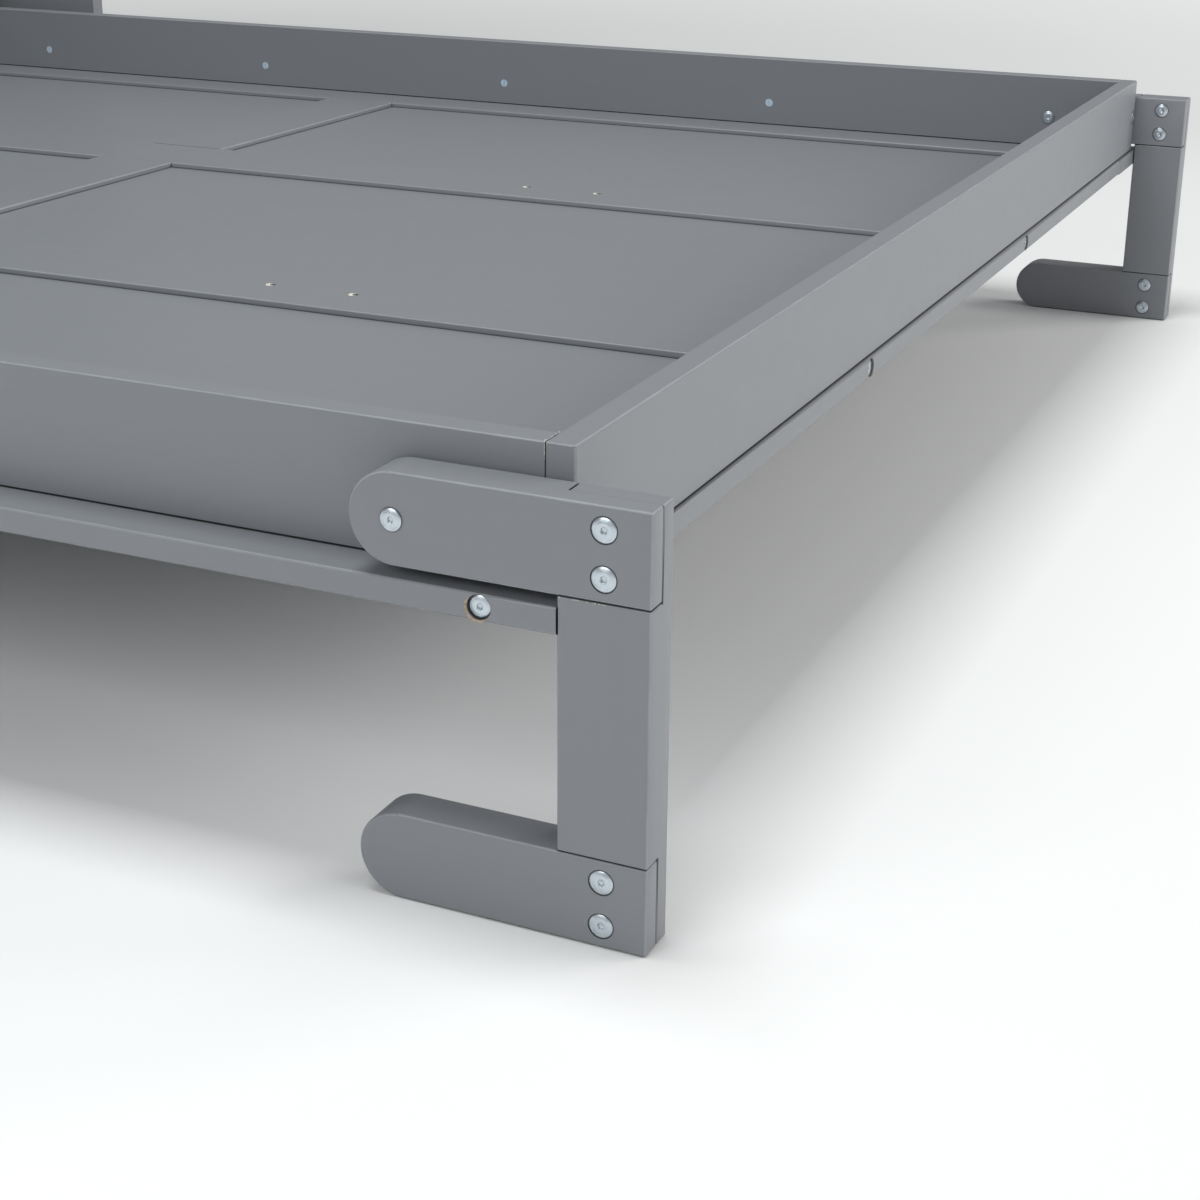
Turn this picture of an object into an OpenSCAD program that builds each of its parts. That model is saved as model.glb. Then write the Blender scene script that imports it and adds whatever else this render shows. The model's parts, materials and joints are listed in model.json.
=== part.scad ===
// Wall bed, lowered for sleeping and standing on its two swing legs.
// X runs across the bed, Y from the foot to the wall, Z up from the floor.
// The origin is on the floor, in the middle of the whole footprint.

/* [Mattress tray] */
// Width over the two side rails
tray_w = 1600; // [1400:10:1800]
// Length over the foot and head rails
tray_l = 2080; // [2000:10:2160]
// Height of the tray rails
rail_h = 84; // [80:1:100]
// Thickness of the tray rails
rail_t = 19; // [18:0.5:24]
// Distance from a rail's end to its first barrel nut
nut_inset = 79; // [60:1:85]
// Height of the barrel nuts over the rail's lower edge
nut_rise = 28; // [20:1:34]
// Barrel nuts along a side rail
side_nuts = 6; // [4:1:8]
// Barrel nuts along the foot and head rails
end_nuts = 5; // [3:2:7]

/* [Bed face] */
// Thickness of the frame of the bed face
face_t = 17; // [16:0.5:20]
// How far the bed face stands out beyond the foot rail
foot_ledge = 3; // [1:0.5:6]
// Width of the two outer stiles
stile_w = 112; // [90:1:130]
// Width of the two inner mullions
mullion_w = 100; // [80:1:120]
// Width of the cross rails at half length
cross_w = 98; // [70:1:120]
// Width of the foot and head rails of the face
end_w = 96; // [80:1:120]
// Thickness of the six panels
panel_t = 5; // [3:0.5:7]
// Depth of the grooves that hold the panels
groove_d = 8; // [5:0.5:12]

/* [Swing legs] */
// Height of a leg
leg_h = 272; // [240:1:300]
// Width of the three boards of a leg
leg_w = 57; // [50:1:60]
// Thickness of a leg
leg_t = 30; // [24:1:30]
// Distance from the top of the tray down to the top of a leg
leg_drop = 20; // [12:1:24]
// Distance from the foot rail's outer face to the leg's pivot bolt
leg_inset = 100; // [95:1:130]
// Gap between a leg and the side rail
leg_gap = 1.6; // [1.4:0.1:2.5]
// Distance between the two bolts of a leg joint
leg_bolt_pitch = 28.4; // [22:0.2:32]

/* [Cabinet] */
// Depth of the cabinet
cab_depth = 535; // [500:5:600]
// Thickness of the side panels and the top panel
cab_t = 22; // [18:0.5:28]
// Gap between the tray and a side panel
side_gap = 35; // [34:0.5:45]
// Gap between the tray's head end and the wall
head_gap = 25; // [22:0.5:40]
// Height of the plinth board
plinth_h = 80; // [50:1:85]
// Thickness of the plinth, the header and the back rails
lath_t = 18; // [16:0.5:20]
// Height of the three back rails
back_rail_h = 120; // [90:1:150]
// Distance between the wall screws across the cabinet
wall_screw_x = 1200; // [800:10:1300]
// Distance between the wall screws up the cabinet
wall_screw_z = 1000; // [800:10:1200]

/* [Lift hinge] */
// Height of the hinge line over the tray
pivot_rise = 110; // [100:1:125]
// Diameter of the hinge pins
pivot_pin_d = 12; // [10:0.5:16]
// Thickness of the steel hinge plates
plate_t = 4; // [3:0.5:5]

/* [Gas struts] */
// Upper strut anchor behind the hinge line
anchor_back = 150; // [140:1:170]
// Upper strut anchor over the hinge line
anchor_up = 450; // [440:1:480]
// Lower strut stud behind the hinge line
stud_back = 230; // [220:1:240]
// Lower strut stud below the hinge line
stud_down = 40; // [36:1:44]
// Outer diameter of the gas cylinder
tube_d = 22; // [18:0.5:23]
// Diameter of the piston rod
rod_d = 10; // [8:0.5:12]
// Length of the bore that the piston runs in
stroke_room = 420; // [400:5:430]

/* [Pull handles] */
// Distance from the foot rail to the middle of a handle
pull_inset = 509; // [300:1:700]
// Distance between the two screws of a handle
pull_pitch = 85; // [64:1:128]
// Diameter of the handle's bar
pull_d = 12; // [10:0.5:16]
// Clear depth between the handle's bar and the bed face
pull_room = 26; // [20:1:40]

/* [Hidden] */
$fn = 48;

// Colours of the finishes
paint = [0.47, 0.48, 0.50];
paint_dark = [0.42, 0.43, 0.45];
zinc = [0.76, 0.80, 0.86];
steel = [0.62, 0.64, 0.67];
black_lacquer = [0.16, 0.16, 0.17];
brass_nut = [0.72, 0.70, 0.62];
nylon = [0.85, 0.85, 0.82];

// Overrun of every cut past the face that it opens
over = 1;
// Eased edge of the painted boards
ease = 1.5;
// Play around a bolt in its hole
bolt_play = 0.25;
// Play between threaded pieces, which have no threads here
thread_play = 0.1;
// Play of a turning pin in its bore
pin_play = 0.05;
// Running gap between flat faces that slide past each other
slip = 0.2;
// Play on each side of a panel or tongue in its groove
panel_play = 0.2;
// Space left behind a panel or tongue at the bottom of its groove
panel_gap = 1;

// Bolts with wide flat heads, and the nuts and inserts that they screw into
bolt_d = 6;
head_d = 15;
head_t = 1.1;
head_bevel = 0.5;
socket_d = 4.6;
socket_depth = 2.4;
sleeve_d = 8;
sleeve_l = 12;
barrel_d = 10;
barrel_l = 14;
barrel_nose = 8;
insert_d = 10;
insert_l = 16;
sunk_head_d = 14.2;
sunk_play = 0.6;
sunk_depth = 2.4;
screw_d = 4;
screw_head_d = 8;
screw_l = 16;
screw_grip = 10;
screw_drive_d = 2.8;

// Leg details
leg_stop_gap = 0.4;
lap_gap = 0.1;
lap_ease = 1.2;
seat_play = 0.8;
seat_depth = 0.6;
pivot_bolt_d = 8;
pivot_sleeve_d = 10;
pivot_head_d = 14;
spacer_d = 22;

// Space between the tip of a bolt and the blind end of its sleeve nut
tip_gap = 1;

// Places along the bed
leg_reach = foot_ledge + leg_stop_gap + leg_w;
total_l = leg_reach + tray_l + head_gap;
foot_y = leg_reach - total_l / 2;
head_y = foot_y + tray_l;
wall_y = total_l / 2;
front_y = wall_y - cab_depth;

// Heights; the corner bolts sit at this share of the rail's height
corner_share = 0.48;
tray_top = leg_h + leg_drop;
tray_floor = tray_top - rail_h;
face_low = tray_floor - face_t;
face_mid = face_low + face_t / 2;
corner_z = tray_floor + rail_h * corner_share;

// Hinge line, set so that the closed bed face lies flush with the cabinet's front
pivot_z = tray_top + pivot_rise;
pivot_y = front_y + pivot_z - face_low;
closed_face_top = pivot_z + pivot_y - foot_y + foot_ledge;
closed_leg_top = pivot_z + pivot_y - foot_y + leg_reach;
header_gap = 5;
leg_top_gap = 6.6;
header_low = closed_face_top + header_gap;
top_low = closed_leg_top + leg_top_gap;
cab_h = top_low + cab_t;

// Widths
half_tray = tray_w / 2;
side_ledge = leg_gap + leg_t;
half_face = half_tray + side_ledge;
half_cab = half_tray + side_gap;
header_clear = 10;

// Grid of the bed face
col_w = (2 * half_face - 2 * stile_w - 2 * mullion_w) / 3;
mullion_x = (col_w + mullion_w) / 2;
face_foot = foot_y - foot_ledge;
face_l = head_y - face_foot;
row_l = (face_l - 2 * end_w - cross_w) / 2;
cross_y = face_foot + end_w + row_l;
tongue_l = groove_d - panel_gap;
groove_w = panel_t + 2 * panel_play;
end_bolt_ys = [face_foot + end_w / 2, cross_y + cross_w / 2, head_y - end_w / 2];

// Barrel nuts along the rails
nut_z = tray_floor + nut_rise;
side_nut_ys = [for (i = [0 : side_nuts - 1])
    foot_y + nut_inset + i * (tray_l - 2 * nut_inset) / (side_nuts - 1)];
end_nut_xs = [for (i = [0 : end_nuts - 1])
    nut_inset - half_tray + i * (tray_w - 2 * nut_inset) / (end_nuts - 1)];

// Legs
leg_left_x = -half_face;
leg_right_x = half_tray + leg_gap;
leg_pivot_y = foot_y + leg_inset;
leg_pivot_z = tray_top - leg_drop - leg_w / 2;
leg_end_y = foot_y - leg_reach;
leg_bolt_y = leg_end_y + leg_w / 2;

// Cabinet fixings
edge_inset = 60;
nut_depth = 34;
top_bolt_ys = [front_y + edge_inset, (front_y + wall_y) / 2, wall_y - edge_inset];
lower_rail_low = plinth_h;
upper_rail_low = top_low - back_rail_h;
upper_screw_z = upper_rail_low + back_rail_h / 2;
lower_screw_z = upper_screw_z - wall_screw_z;
middle_rail_low = lower_screw_z - back_rail_h / 2;
back_rail_lows = [upper_rail_low, middle_rail_low, lower_rail_low];
wall_screw_d = 7;
header_w = 2 * (half_tray - header_clear);
header_bolt_share = 0.4;
rail_bolt_shares = [0.25, 0.75];

// Hinge plate on the side rail, with an ear for the pin and one for the strut stud
ear_r = 24;
neck_share = 0.95;
stud_ear_share = 1.2;
plate_corner_r = 8;
plate_front = 60;
plate_rear = 262;
plate_margin = 6;
plate_low = tray_floor + plate_margin;
plate_foot_h = rail_h - 2 * plate_margin;
plate_bolt_shares = [0.27, 0.62];
plate_bolt_offsets = [-plate_front / 2, plate_rear * plate_bolt_shares[0],
    plate_rear * plate_bolt_shares[1], plate_rear - ear_r];
pin_head_d = 22;
pin_head_t = 4;
pin_shoulder_d = 16;
bearing_flange_d = 60;
bearing_flange_t = 5;
bearing_boss_d = 24;
bearing_cover = 4;
bearing_boss_l = cab_t - bearing_cover;
bearing_screw_r = 21;

// Gas struts, in the gap between the tray and the side panel
strut_shift = 0.5;
strut_x = half_tray + side_gap / 2 + strut_shift;
anchor_y = pivot_y + anchor_back;
anchor_z = pivot_z + anchor_up;
stud_y = pivot_y + stud_back;
stud_z = pivot_z - stud_down;
strut_dy = stud_y - anchor_y;
strut_dz = anchor_z - stud_z;
strut_l = sqrt(strut_dy * strut_dy + strut_dz * strut_dz);
strut_lean = atan2(strut_dy, strut_dz);
stud_d = 8;
stud_collar_d = 14;
eye_d = 20;
eye_w = 12;
socket_w = 10;
stud_clear = 0.5;
tube_start = 15;
tube_wall = 1.5;
tube_base = 6;
tube_guide = 10;
tube_end = tube_start + stroke_room + tube_guide + tube_base;
piston_l = 12;
piston_play = 0.3;
piston_start = tube_start + tube_base + piston_play;
bracket_h = 76;
bracket_w = 44;
bracket_screw = 26;
bracket_t = 4;

// Handles
pull_ys = [foot_y + pull_inset - pull_pitch / 2, foot_y + pull_inset + pull_pitch / 2];
pull_post_d = 9;
pull_tail = 22;
pull_screw_head_d = 5.4;
pull_screw_sink = 6;

// A rectangle from the origin with its four corners cut
module eased(a, b) {
    polygon([[ease, 0], [a - ease, 0], [a, ease], [a, b - ease],
             [a - ease, b], [ease, b], [0, b - ease], [0, ease]]);
}

// A bar along Y or X with eased long edges and square ends
module bar_y(at, size)
    translate(at + [0, size.y, 0]) rotate([90, 0, 0]) linear_extrude(size.y) eased(size.x, size.z);
module bar_x(at, size)
    translate(at) rotate([90, 0, 90]) linear_extrude(size.x) eased(size.y, size.z);
module bar_z(at, size)
    translate(at) linear_extrude(size.z) eased(size.x, size.y);

// A board with all its edges eased
module board(at, size) {
    intersection() {
        bar_x(at - [over, 0, 0], size + [2 * over, 0, 0]);
        bar_y(at - [0, over, 0], size + [0, 2 * over, 0]);
        bar_z(at - [0, 0, over], size + [0, 0, 2 * over]);
    }
}

// Turns what is drawn along +Z towards one of the six main directions
module facing(at, v)
    translate(at) rotate([v.z < 0 ? 180 : -90 * v.y, 90 * v.x, 0]) children();

// A hole that starts at a face and runs along v
module drill(at, v, d, depth)
    facing(at, v) translate([0, 0, -over]) cylinder(d = d, h = depth + over);

// Profile of a fastener's head, standing on z = 0
function head_profile(r, t) = [[0, t], [r - head_bevel, t], [r, t - head_bevel], [r, 0]];

// A flat-headed bolt: the head stands out along +Z and the shank runs down from z = 0
module bolt(length, d = bolt_d, head = head_d) {
    difference() {
        rotate_extrude() polygon(concat([[0, -length], [0, 0]],
            head_profile(head / 2, head_t), [[d / 2, 0], [d / 2, -length]]));
        translate([0, 0, head_t - socket_depth]) cylinder(d = socket_d, h = socket_depth + over, $fn = 6);
    }
}

// A flat-headed sleeve nut that takes the bolt from the other side
module sleeve_nut(length, d = sleeve_d, bore = bolt_d, head = head_d) {
    difference() {
        rotate_extrude() polygon(concat([[0, -length], [0, 0]],
            head_profile(head / 2, head_t), [[d / 2, 0], [d / 2, -length]]));
        translate([0, 0, -length - over])
            cylinder(d = bore + 2 * thread_play, h = length + over - socket_depth);
        translate([0, 0, head_t - socket_depth]) cylinder(d = socket_d, h = socket_depth + over, $fn = 6);
    }
}

// A barrel nut whose axis is Z, with its face at z = 0 and its thread across it at z = -deep
module barrel_nut(deep, across) {
    difference() {
        translate([0, 0, -barrel_l]) cylinder(d = barrel_d, h = barrel_l);
        facing(-across * barrel_d - [0, 0, deep], across)
            cylinder(d = bolt_d + 2 * thread_play, h = 2 * barrel_d);
        translate([-barrel_d / 2, -over / 2, -over]) cube([barrel_d, over, 2 * over]);
    }
}

// A threaded insert for end grain: it starts at z = 0 and runs down
module insert_nut() {
    difference() {
        translate([0, 0, -insert_l]) cylinder(d = insert_d, h = insert_l);
        translate([0, 0, -insert_l - over])
            cylinder(d = bolt_d + 2 * thread_play, h = insert_l + 2 * over);
    }
}

// A countersunk wood screw, its head flush with z = 0
module wood_screw(length) {
    sink = (screw_head_d - screw_d) / 2;
    difference() {
        rotate_extrude() polygon([[0, 0], [screw_head_d / 2, 0], [screw_d / 2, -sink],
            [screw_d / 2, screw_d - length], [0, -length]]);
        translate([0, 0, -sink / 2]) cylinder(d = screw_drive_d, h = sink, $fn = 6);
    }
}

// The hole for that screw, countersunk
module screw_hole(at, v) {
    sink = (screw_head_d - screw_d) / 2;
    r = screw_d / 2 + bolt_play;
    facing(at, v) rotate_extrude() polygon([[0, -over], [r + sink + over, -over], [r, sink],
        [r, screw_l + over], [0, screw_l + over]]);
}

module mirrored() { mirror([1, 0, 0]) children(); }
module on_both_sides() { children(); mirrored() children(); }

// Cabinet

// Holes of the bolts that join a side panel to the boards between the two
module side_bolt_places() {
    for (y = top_bolt_ys) translate([half_cab + cab_t, y, top_low + cab_t / 2]) children();
    for (z = back_rail_lows, share = rail_bolt_shares)
        translate([half_cab + cab_t, wall_y - lath_t / 2, z + share * back_rail_h]) children();
    translate([half_cab + cab_t, front_y + lath_t / 2, plinth_h / 2]) children();
}
side_bolt_l = cab_t + nut_depth + barrel_d / 2;
side_hole_l = side_bolt_l + barrel_d / 2;
top_bolt_xs = [-header_w * header_bolt_share, 0, header_w * header_bolt_share];
header_bolt_l = cab_t + insert_l;

module side_bolt_holes() {
    on_both_sides() side_bolt_places()
        drill([0, 0, 0], [-1, 0, 0], bolt_d + 2 * bolt_play, side_hole_l);
}

// Barrel nuts of the cabinet: axis Z in the top panel, axis Y in the rails and the plinth
module cabinet_nut_places() {
    x = half_cab - nut_depth;
    on_both_sides() {
        for (y = top_bolt_ys)
            translate([x, y, top_low + (cab_t - barrel_l) / 2]) cylinder(d = barrel_d, h = barrel_l);
        for (z = back_rail_lows, share = rail_bolt_shares)
            facing([x, wall_y - (lath_t - barrel_l) / 2, z + share * back_rail_h], [0, -1, 0])
                cylinder(d = barrel_d, h = barrel_l);
        facing([x, front_y + (lath_t + barrel_l) / 2, plinth_h / 2], [0, -1, 0])
            cylinder(d = barrel_d, h = barrel_l);
    }
}

// Mouths of the nut holes, open to the hidden face of each board
module cabinet_nut_holes() {
    x = half_cab - nut_depth;
    d = barrel_d + 2 * thread_play;
    on_both_sides() {
        for (y = top_bolt_ys) drill([x, y, top_low], [0, 0, 1], d, (cab_t + barrel_l) / 2);
        for (z = back_rail_lows, share = rail_bolt_shares)
            drill([x, wall_y, z + share * back_rail_h], [0, -1, 0], d, (lath_t + barrel_l) / 2);
        drill([x, front_y + lath_t, plinth_h / 2], [0, -1, 0], d, (lath_t + barrel_l) / 2);
    }
}

module side_panel() {
    color(paint) difference() {
        board([half_cab, front_y, 0], [cab_t, cab_depth, cab_h]);
        side_bolt_places() drill([0, 0, 0], [-1, 0, 0], bolt_d + 2 * bolt_play, cab_t + over);
        drill([half_cab, pivot_y, pivot_z], [1, 0, 0], bearing_boss_d + 2 * thread_play,
              bearing_boss_l + slip);
        for (a = [45 : 90 : 315])
            drill([half_cab, pivot_y + bearing_screw_r * cos(a), pivot_z + bearing_screw_r * sin(a)],
                  [1, 0, 0], screw_d + 2 * bolt_play, screw_l);
        for (k = [-1, 1])
            drill([half_cab, anchor_y, anchor_z + k * bracket_screw], [1, 0, 0],
                  screw_d + 2 * bolt_play, screw_l);
    }
}
module left_side_panel() mirrored() side_panel();
module right_side_panel() side_panel();

module top_panel() {
    color(paint) difference() {
        bar_x([-half_cab, front_y, top_low], [2 * half_cab, cab_depth, cab_t]);
        side_bolt_holes();
        cabinet_nut_holes();
        for (x = top_bolt_xs)
            drill([x, front_y + lath_t / 2, cab_h], [0, 0, -1], bolt_d + 2 * bolt_play, cab_t + over);
    }
}

module header_rail() {
    color(paint) difference() {
        board([-header_w / 2, front_y, header_low], [header_w, lath_t, top_low - header_low]);
        for (x = top_bolt_xs)
            drill([x, front_y + lath_t / 2, top_low], [0, 0, -1], insert_d + 2 * thread_play, insert_l);
    }
}

module back_rail(low) {
    color(paint_dark) difference() {
        bar_x([-half_cab, wall_y - lath_t, low], [2 * half_cab, lath_t, back_rail_h]);
        side_bolt_holes();
        cabinet_nut_holes();
    }
}
module wall_screw_holes(z)
    for (k = [-1, 1])
        drill([k * wall_screw_x / 2, wall_y - lath_t, z], [0, 1, 0], wall_screw_d, lath_t + over);
module upper_back_rail() {
    difference() {
        back_rail(upper_rail_low);
        wall_screw_holes(upper_screw_z);
    }
}
module middle_back_rail() {
    difference() {
        back_rail(middle_rail_low);
        wall_screw_holes(lower_screw_z);
    }
}
module lower_back_rail() back_rail(lower_rail_low);

module plinth_board() {
    color(paint) difference() {
        bar_x([-half_cab, front_y, 0], [2 * half_cab, lath_t, plinth_h]);
        side_bolt_holes();
        cabinet_nut_holes();
    }
}

// Flanged steel bearing, let into the side panel
module pivot_bearing() {
    color(steel) difference() {
        union() {
            facing([half_cab - bearing_flange_t, pivot_y, pivot_z], [1, 0, 0])
                cylinder(d = bearing_flange_d, h = bearing_flange_t);
            facing([half_cab - bearing_flange_t, pivot_y, pivot_z], [1, 0, 0])
                cylinder(d = bearing_boss_d, h = bearing_flange_t + bearing_boss_l);
        }
        drill([half_cab - bearing_flange_t, pivot_y, pivot_z], [1, 0, 0],
              pivot_pin_d + 2 * pin_play, bearing_flange_t + bearing_boss_l + over);
        for (a = [45 : 90 : 315])
            screw_hole([half_cab - bearing_flange_t, pivot_y + bearing_screw_r * cos(a),
                        pivot_z + bearing_screw_r * sin(a)], [1, 0, 0]);
    }
}
module left_pivot_bearing() mirrored() pivot_bearing();
module right_pivot_bearing() pivot_bearing();

// Plate on the side panel with the stud that the gas cylinder hangs on
module strut_bracket() {
    color(steel) difference() {
        union() {
            board([half_cab - bracket_t, anchor_y - bracket_w / 2, anchor_z - bracket_h / 2],
                  [bracket_t, bracket_w, bracket_h]);
            facing([half_cab - bracket_t, anchor_y, anchor_z], [-1, 0, 0])
                cylinder(d = stud_d, h = half_cab - bracket_t - strut_x + eye_w / 2 + over);
        }
        for (k = [-1, 1])
            screw_hole([half_cab - bracket_t, anchor_y, anchor_z + k * bracket_screw], [1, 0, 0]);
    }
}
module left_strut_bracket() mirrored() strut_bracket();
module right_strut_bracket() strut_bracket();

module cabinet_bolts() {
    color(zinc) {
        on_both_sides() side_bolt_places() facing([0, 0, 0], [1, 0, 0]) bolt(side_bolt_l);
        for (x = top_bolt_xs) translate([x, front_y + lath_t / 2, cab_h]) bolt(header_bolt_l);
    }
}

module cabinet_barrel_nuts() {
    color(brass_nut) {
        difference() {
            cabinet_nut_places();
            on_both_sides() side_bolt_places()
                drill([0, 0, 0], [-1, 0, 0], bolt_d + 2 * thread_play, side_hole_l + over);
        }
        for (x = top_bolt_xs) translate([x, front_y + lath_t / 2, top_low]) insert_nut();
    }
}

module hinge_screws() {
    color(zinc) on_both_sides() {
        for (a = [45 : 90 : 315])
            facing([half_cab - bearing_flange_t, pivot_y + bearing_screw_r * cos(a),
                    pivot_z + bearing_screw_r * sin(a)], [-1, 0, 0]) wood_screw(screw_l);
        for (k = [-1, 1])
            facing([half_cab - bracket_t, anchor_y, anchor_z + k * bracket_screw], [-1, 0, 0])
                wood_screw(screw_l);
    }
}

// Mattress tray

side_rail_l = tray_l - 2 * rail_t;
rail_mid_x = half_tray - rail_t / 2;
tray_bolt_l = face_t - sunk_depth + nut_rise + barrel_nose;

// Holes of the upright bolt and the barrel nut that join a rail to the bed face;
// v points from the rail's middle to the face that the nut is let into
module rail_nut_hole(at, v) {
    drill([at.x, at.y, tray_floor], [0, 0, 1], bolt_d + 2 * bolt_play, nut_rise + barrel_nose + over);
    drill(at + v * rail_t / 2, -v, barrel_d + 2 * thread_play, barrel_l + slip);
}
module corner_bolt_places(d, depth) {
    for (x = [-rail_mid_x, rail_mid_x]) {
        drill([x, foot_y, corner_z], [0, 1, 0], d, depth);
        drill([x, head_y, corner_z], [0, -1, 0], d, depth);
    }
}

module side_rail() {
    color(paint) difference() {
        bar_y([half_tray - rail_t, foot_y + rail_t, tray_floor], [rail_t, side_rail_l, rail_h]);
        for (y = side_nut_ys) rail_nut_hole([rail_mid_x, y, nut_z], [-1, 0, 0]);
        corner_bolt_places(insert_d + 2 * thread_play, rail_t + insert_l);
        corner_bolt_places(bolt_d + 2 * bolt_play, rail_t + insert_l + barrel_nose);
        drill([half_tray, leg_pivot_y, leg_pivot_z], [-1, 0, 0],
              pivot_sleeve_d + 2 * bolt_play, rail_t + over);
        for (o = plate_bolt_offsets)
            drill([half_tray, pivot_y + o, plate_low + plate_foot_h / 2], [-1, 0, 0],
                  sleeve_d + 2 * bolt_play, rail_t + over);
    }
}
module left_side_rail() mirrored() side_rail();
module right_side_rail() side_rail();

module cross_end_rail(y, v) {
    color(paint) difference() {
        board([-half_tray, y, tray_floor], [tray_w, rail_t, rail_h]);
        for (x = end_nut_xs) rail_nut_hole([x, y + rail_t / 2, nut_z], v);
        corner_bolt_places(bolt_d + 2 * bolt_play, rail_t + over);
    }
}
module foot_rail() cross_end_rail(foot_y, [0, 1, 0]);
module head_rail() cross_end_rail(head_y - rail_t, [0, -1, 0]);

// Bed face: a frame with grooves that hold six loose panels

// Profile of a frame member lying on its back: u across its width, with a groove in
// the far edge and, if both is set, in the near one too
module frame_profile(w, both) {
    low = (face_t - groove_w) / 2;
    difference() {
        eased(w, face_t);
        translate([w - groove_d, low]) square([groove_d + over, groove_w]);
        if (both) translate([-over, low]) square([groove_d + over, groove_w]);
    }
}
module member_x(at, length, w, both)
    translate(at) rotate([90, 0, 90]) linear_extrude(length) frame_profile(w, both);
module member_y(at, length, w, both)
    translate(at + [0, length, 0]) rotate([90, 0, 0]) linear_extrude(length) frame_profile(w, both);
// Stub tenon on the end of a member, as thick as a panel
module tongue(at, size)
    translate([at.x, at.y, face_mid - panel_t / 2]) cube([size.x, size.y, panel_t]);

module side_frame_bolt_holes() {
    on_both_sides() for (y = end_bolt_ys) {
        drill([half_face, y, face_mid], [-1, 0, 0], sunk_head_d + 2 * sunk_play, sunk_depth);
        drill([half_face, y, face_mid], [-1, 0, 0], bolt_d + 2 * bolt_play,
              stile_w + insert_l + over);
        drill([half_face - stile_w, y, face_mid], [-1, 0, 0], insert_d + 2 * thread_play, insert_l);
    }
}
module end_frame_bolt_holes() {
    on_both_sides() for (s = [[face_foot, 1], [head_y, -1]]) {
        v = [0, s[1], 0];
        drill([mullion_x, s[0], face_mid], v, sunk_head_d + 2 * sunk_play, sunk_depth);
        drill([mullion_x, s[0], face_mid], v, bolt_d + 2 * bolt_play, end_w + insert_l + over);
        drill([mullion_x, s[0] + s[1] * end_w, face_mid], v, insert_d + 2 * thread_play, insert_l);
    }
}
// Holes in the bed face for the bolts that hold the tray rails
module tray_bolt_places() {
    for (x = [-rail_mid_x, rail_mid_x], y = side_nut_ys) translate([x, y, face_low]) children();
    for (x = end_nut_xs, y = [foot_y + rail_t / 2, head_y - rail_t / 2])
        translate([x, y, face_low]) children();
}
module tray_bolt_holes() {
    tray_bolt_places() {
        drill([0, 0, 0], [0, 0, 1], head_d + 2 * sunk_play, sunk_depth);
        drill([0, 0, 0], [0, 0, 1], bolt_d + 2 * bolt_play, face_t + over);
    }
}

module stile() {
    color(paint) difference() {
        mirrored() member_y([-half_face, face_foot, face_low], face_l, stile_w, false);
        side_frame_bolt_holes();
        tray_bolt_holes();
    }
}
module left_stile() mirrored() stile();
module right_stile() stile();

end_rail_l = 2 * (half_face - stile_w);
module foot_frame_rail() {
    color(paint) difference() {
        union() {
            member_x([-end_rail_l / 2, face_foot, face_low], end_rail_l, end_w, false);
            tongue([-end_rail_l / 2 - tongue_l, face_foot], [end_rail_l + 2 * tongue_l, end_w - groove_d]);
        }
        side_frame_bolt_holes();
        end_frame_bolt_holes();
        tray_bolt_holes();
    }
}
module head_frame_rail() {
    color(paint) difference() {
        union() {
            translate([0, 2 * (head_y - end_w / 2), 0]) mirror([0, 1, 0])
                member_x([-end_rail_l / 2, head_y - end_w, face_low], end_rail_l, end_w, false);
            tongue([-end_rail_l / 2 - tongue_l, head_y - end_w + groove_d],
                   [end_rail_l + 2 * tongue_l, end_w - groove_d]);
        }
        side_frame_bolt_holes();
        end_frame_bolt_holes();
        tray_bolt_holes();
    }
}

mullion_l = face_l - 2 * end_w;
module mullion() {
    color(paint) difference() {
        union() {
            member_y([mullion_x - mullion_w / 2, face_foot + end_w, face_low], mullion_l, mullion_w, true);
            tongue([mullion_x - mullion_w / 2 + groove_d, face_foot + end_w - tongue_l],
                   [mullion_w - 2 * groove_d, mullion_l + 2 * tongue_l]);
        }
        end_frame_bolt_holes();
        for (y = pull_ys) {
            drill([mullion_x, y, tray_floor], [0, 0, -1], pull_screw_head_d + 2 * bolt_play,
                  pull_screw_sink);
            drill([mullion_x, y, tray_floor], [0, 0, -1], screw_d + 2 * bolt_play, face_t + over);
        }
    }
}
module left_mullion() mirrored() mullion();
module right_mullion() mullion();

module cross_rail(x) {
    color(paint) difference() {
        union() {
            member_x([x - col_w / 2, cross_y, face_low], col_w, cross_w, true);
            tongue([x - col_w / 2 - tongue_l, cross_y + groove_d],
                   [col_w + 2 * tongue_l, cross_w - 2 * groove_d]);
        }
        side_frame_bolt_holes();
    }
}
col_pitch = col_w + mullion_w;
module left_cross_rail() cross_rail(-col_pitch);
module centre_cross_rail() cross_rail(0);
module right_cross_rail() cross_rail(col_pitch);

module panel(x, y)
    color(paint)
        translate([x - col_w / 2 - tongue_l, y - tongue_l, face_mid - panel_t / 2])
            cube([col_w + 2 * tongue_l, row_l + 2 * tongue_l, panel_t]);
foot_row = face_foot + end_w;
head_row = cross_y + cross_w;
module left_foot_panel() panel(-col_pitch, foot_row);
module centre_foot_panel() panel(0, foot_row);
module right_foot_panel() panel(col_pitch, foot_row);
module left_head_panel() panel(-col_pitch, head_row);
module centre_head_panel() panel(0, head_row);
module right_head_panel() panel(col_pitch, head_row);

// Lift hinge

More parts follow.
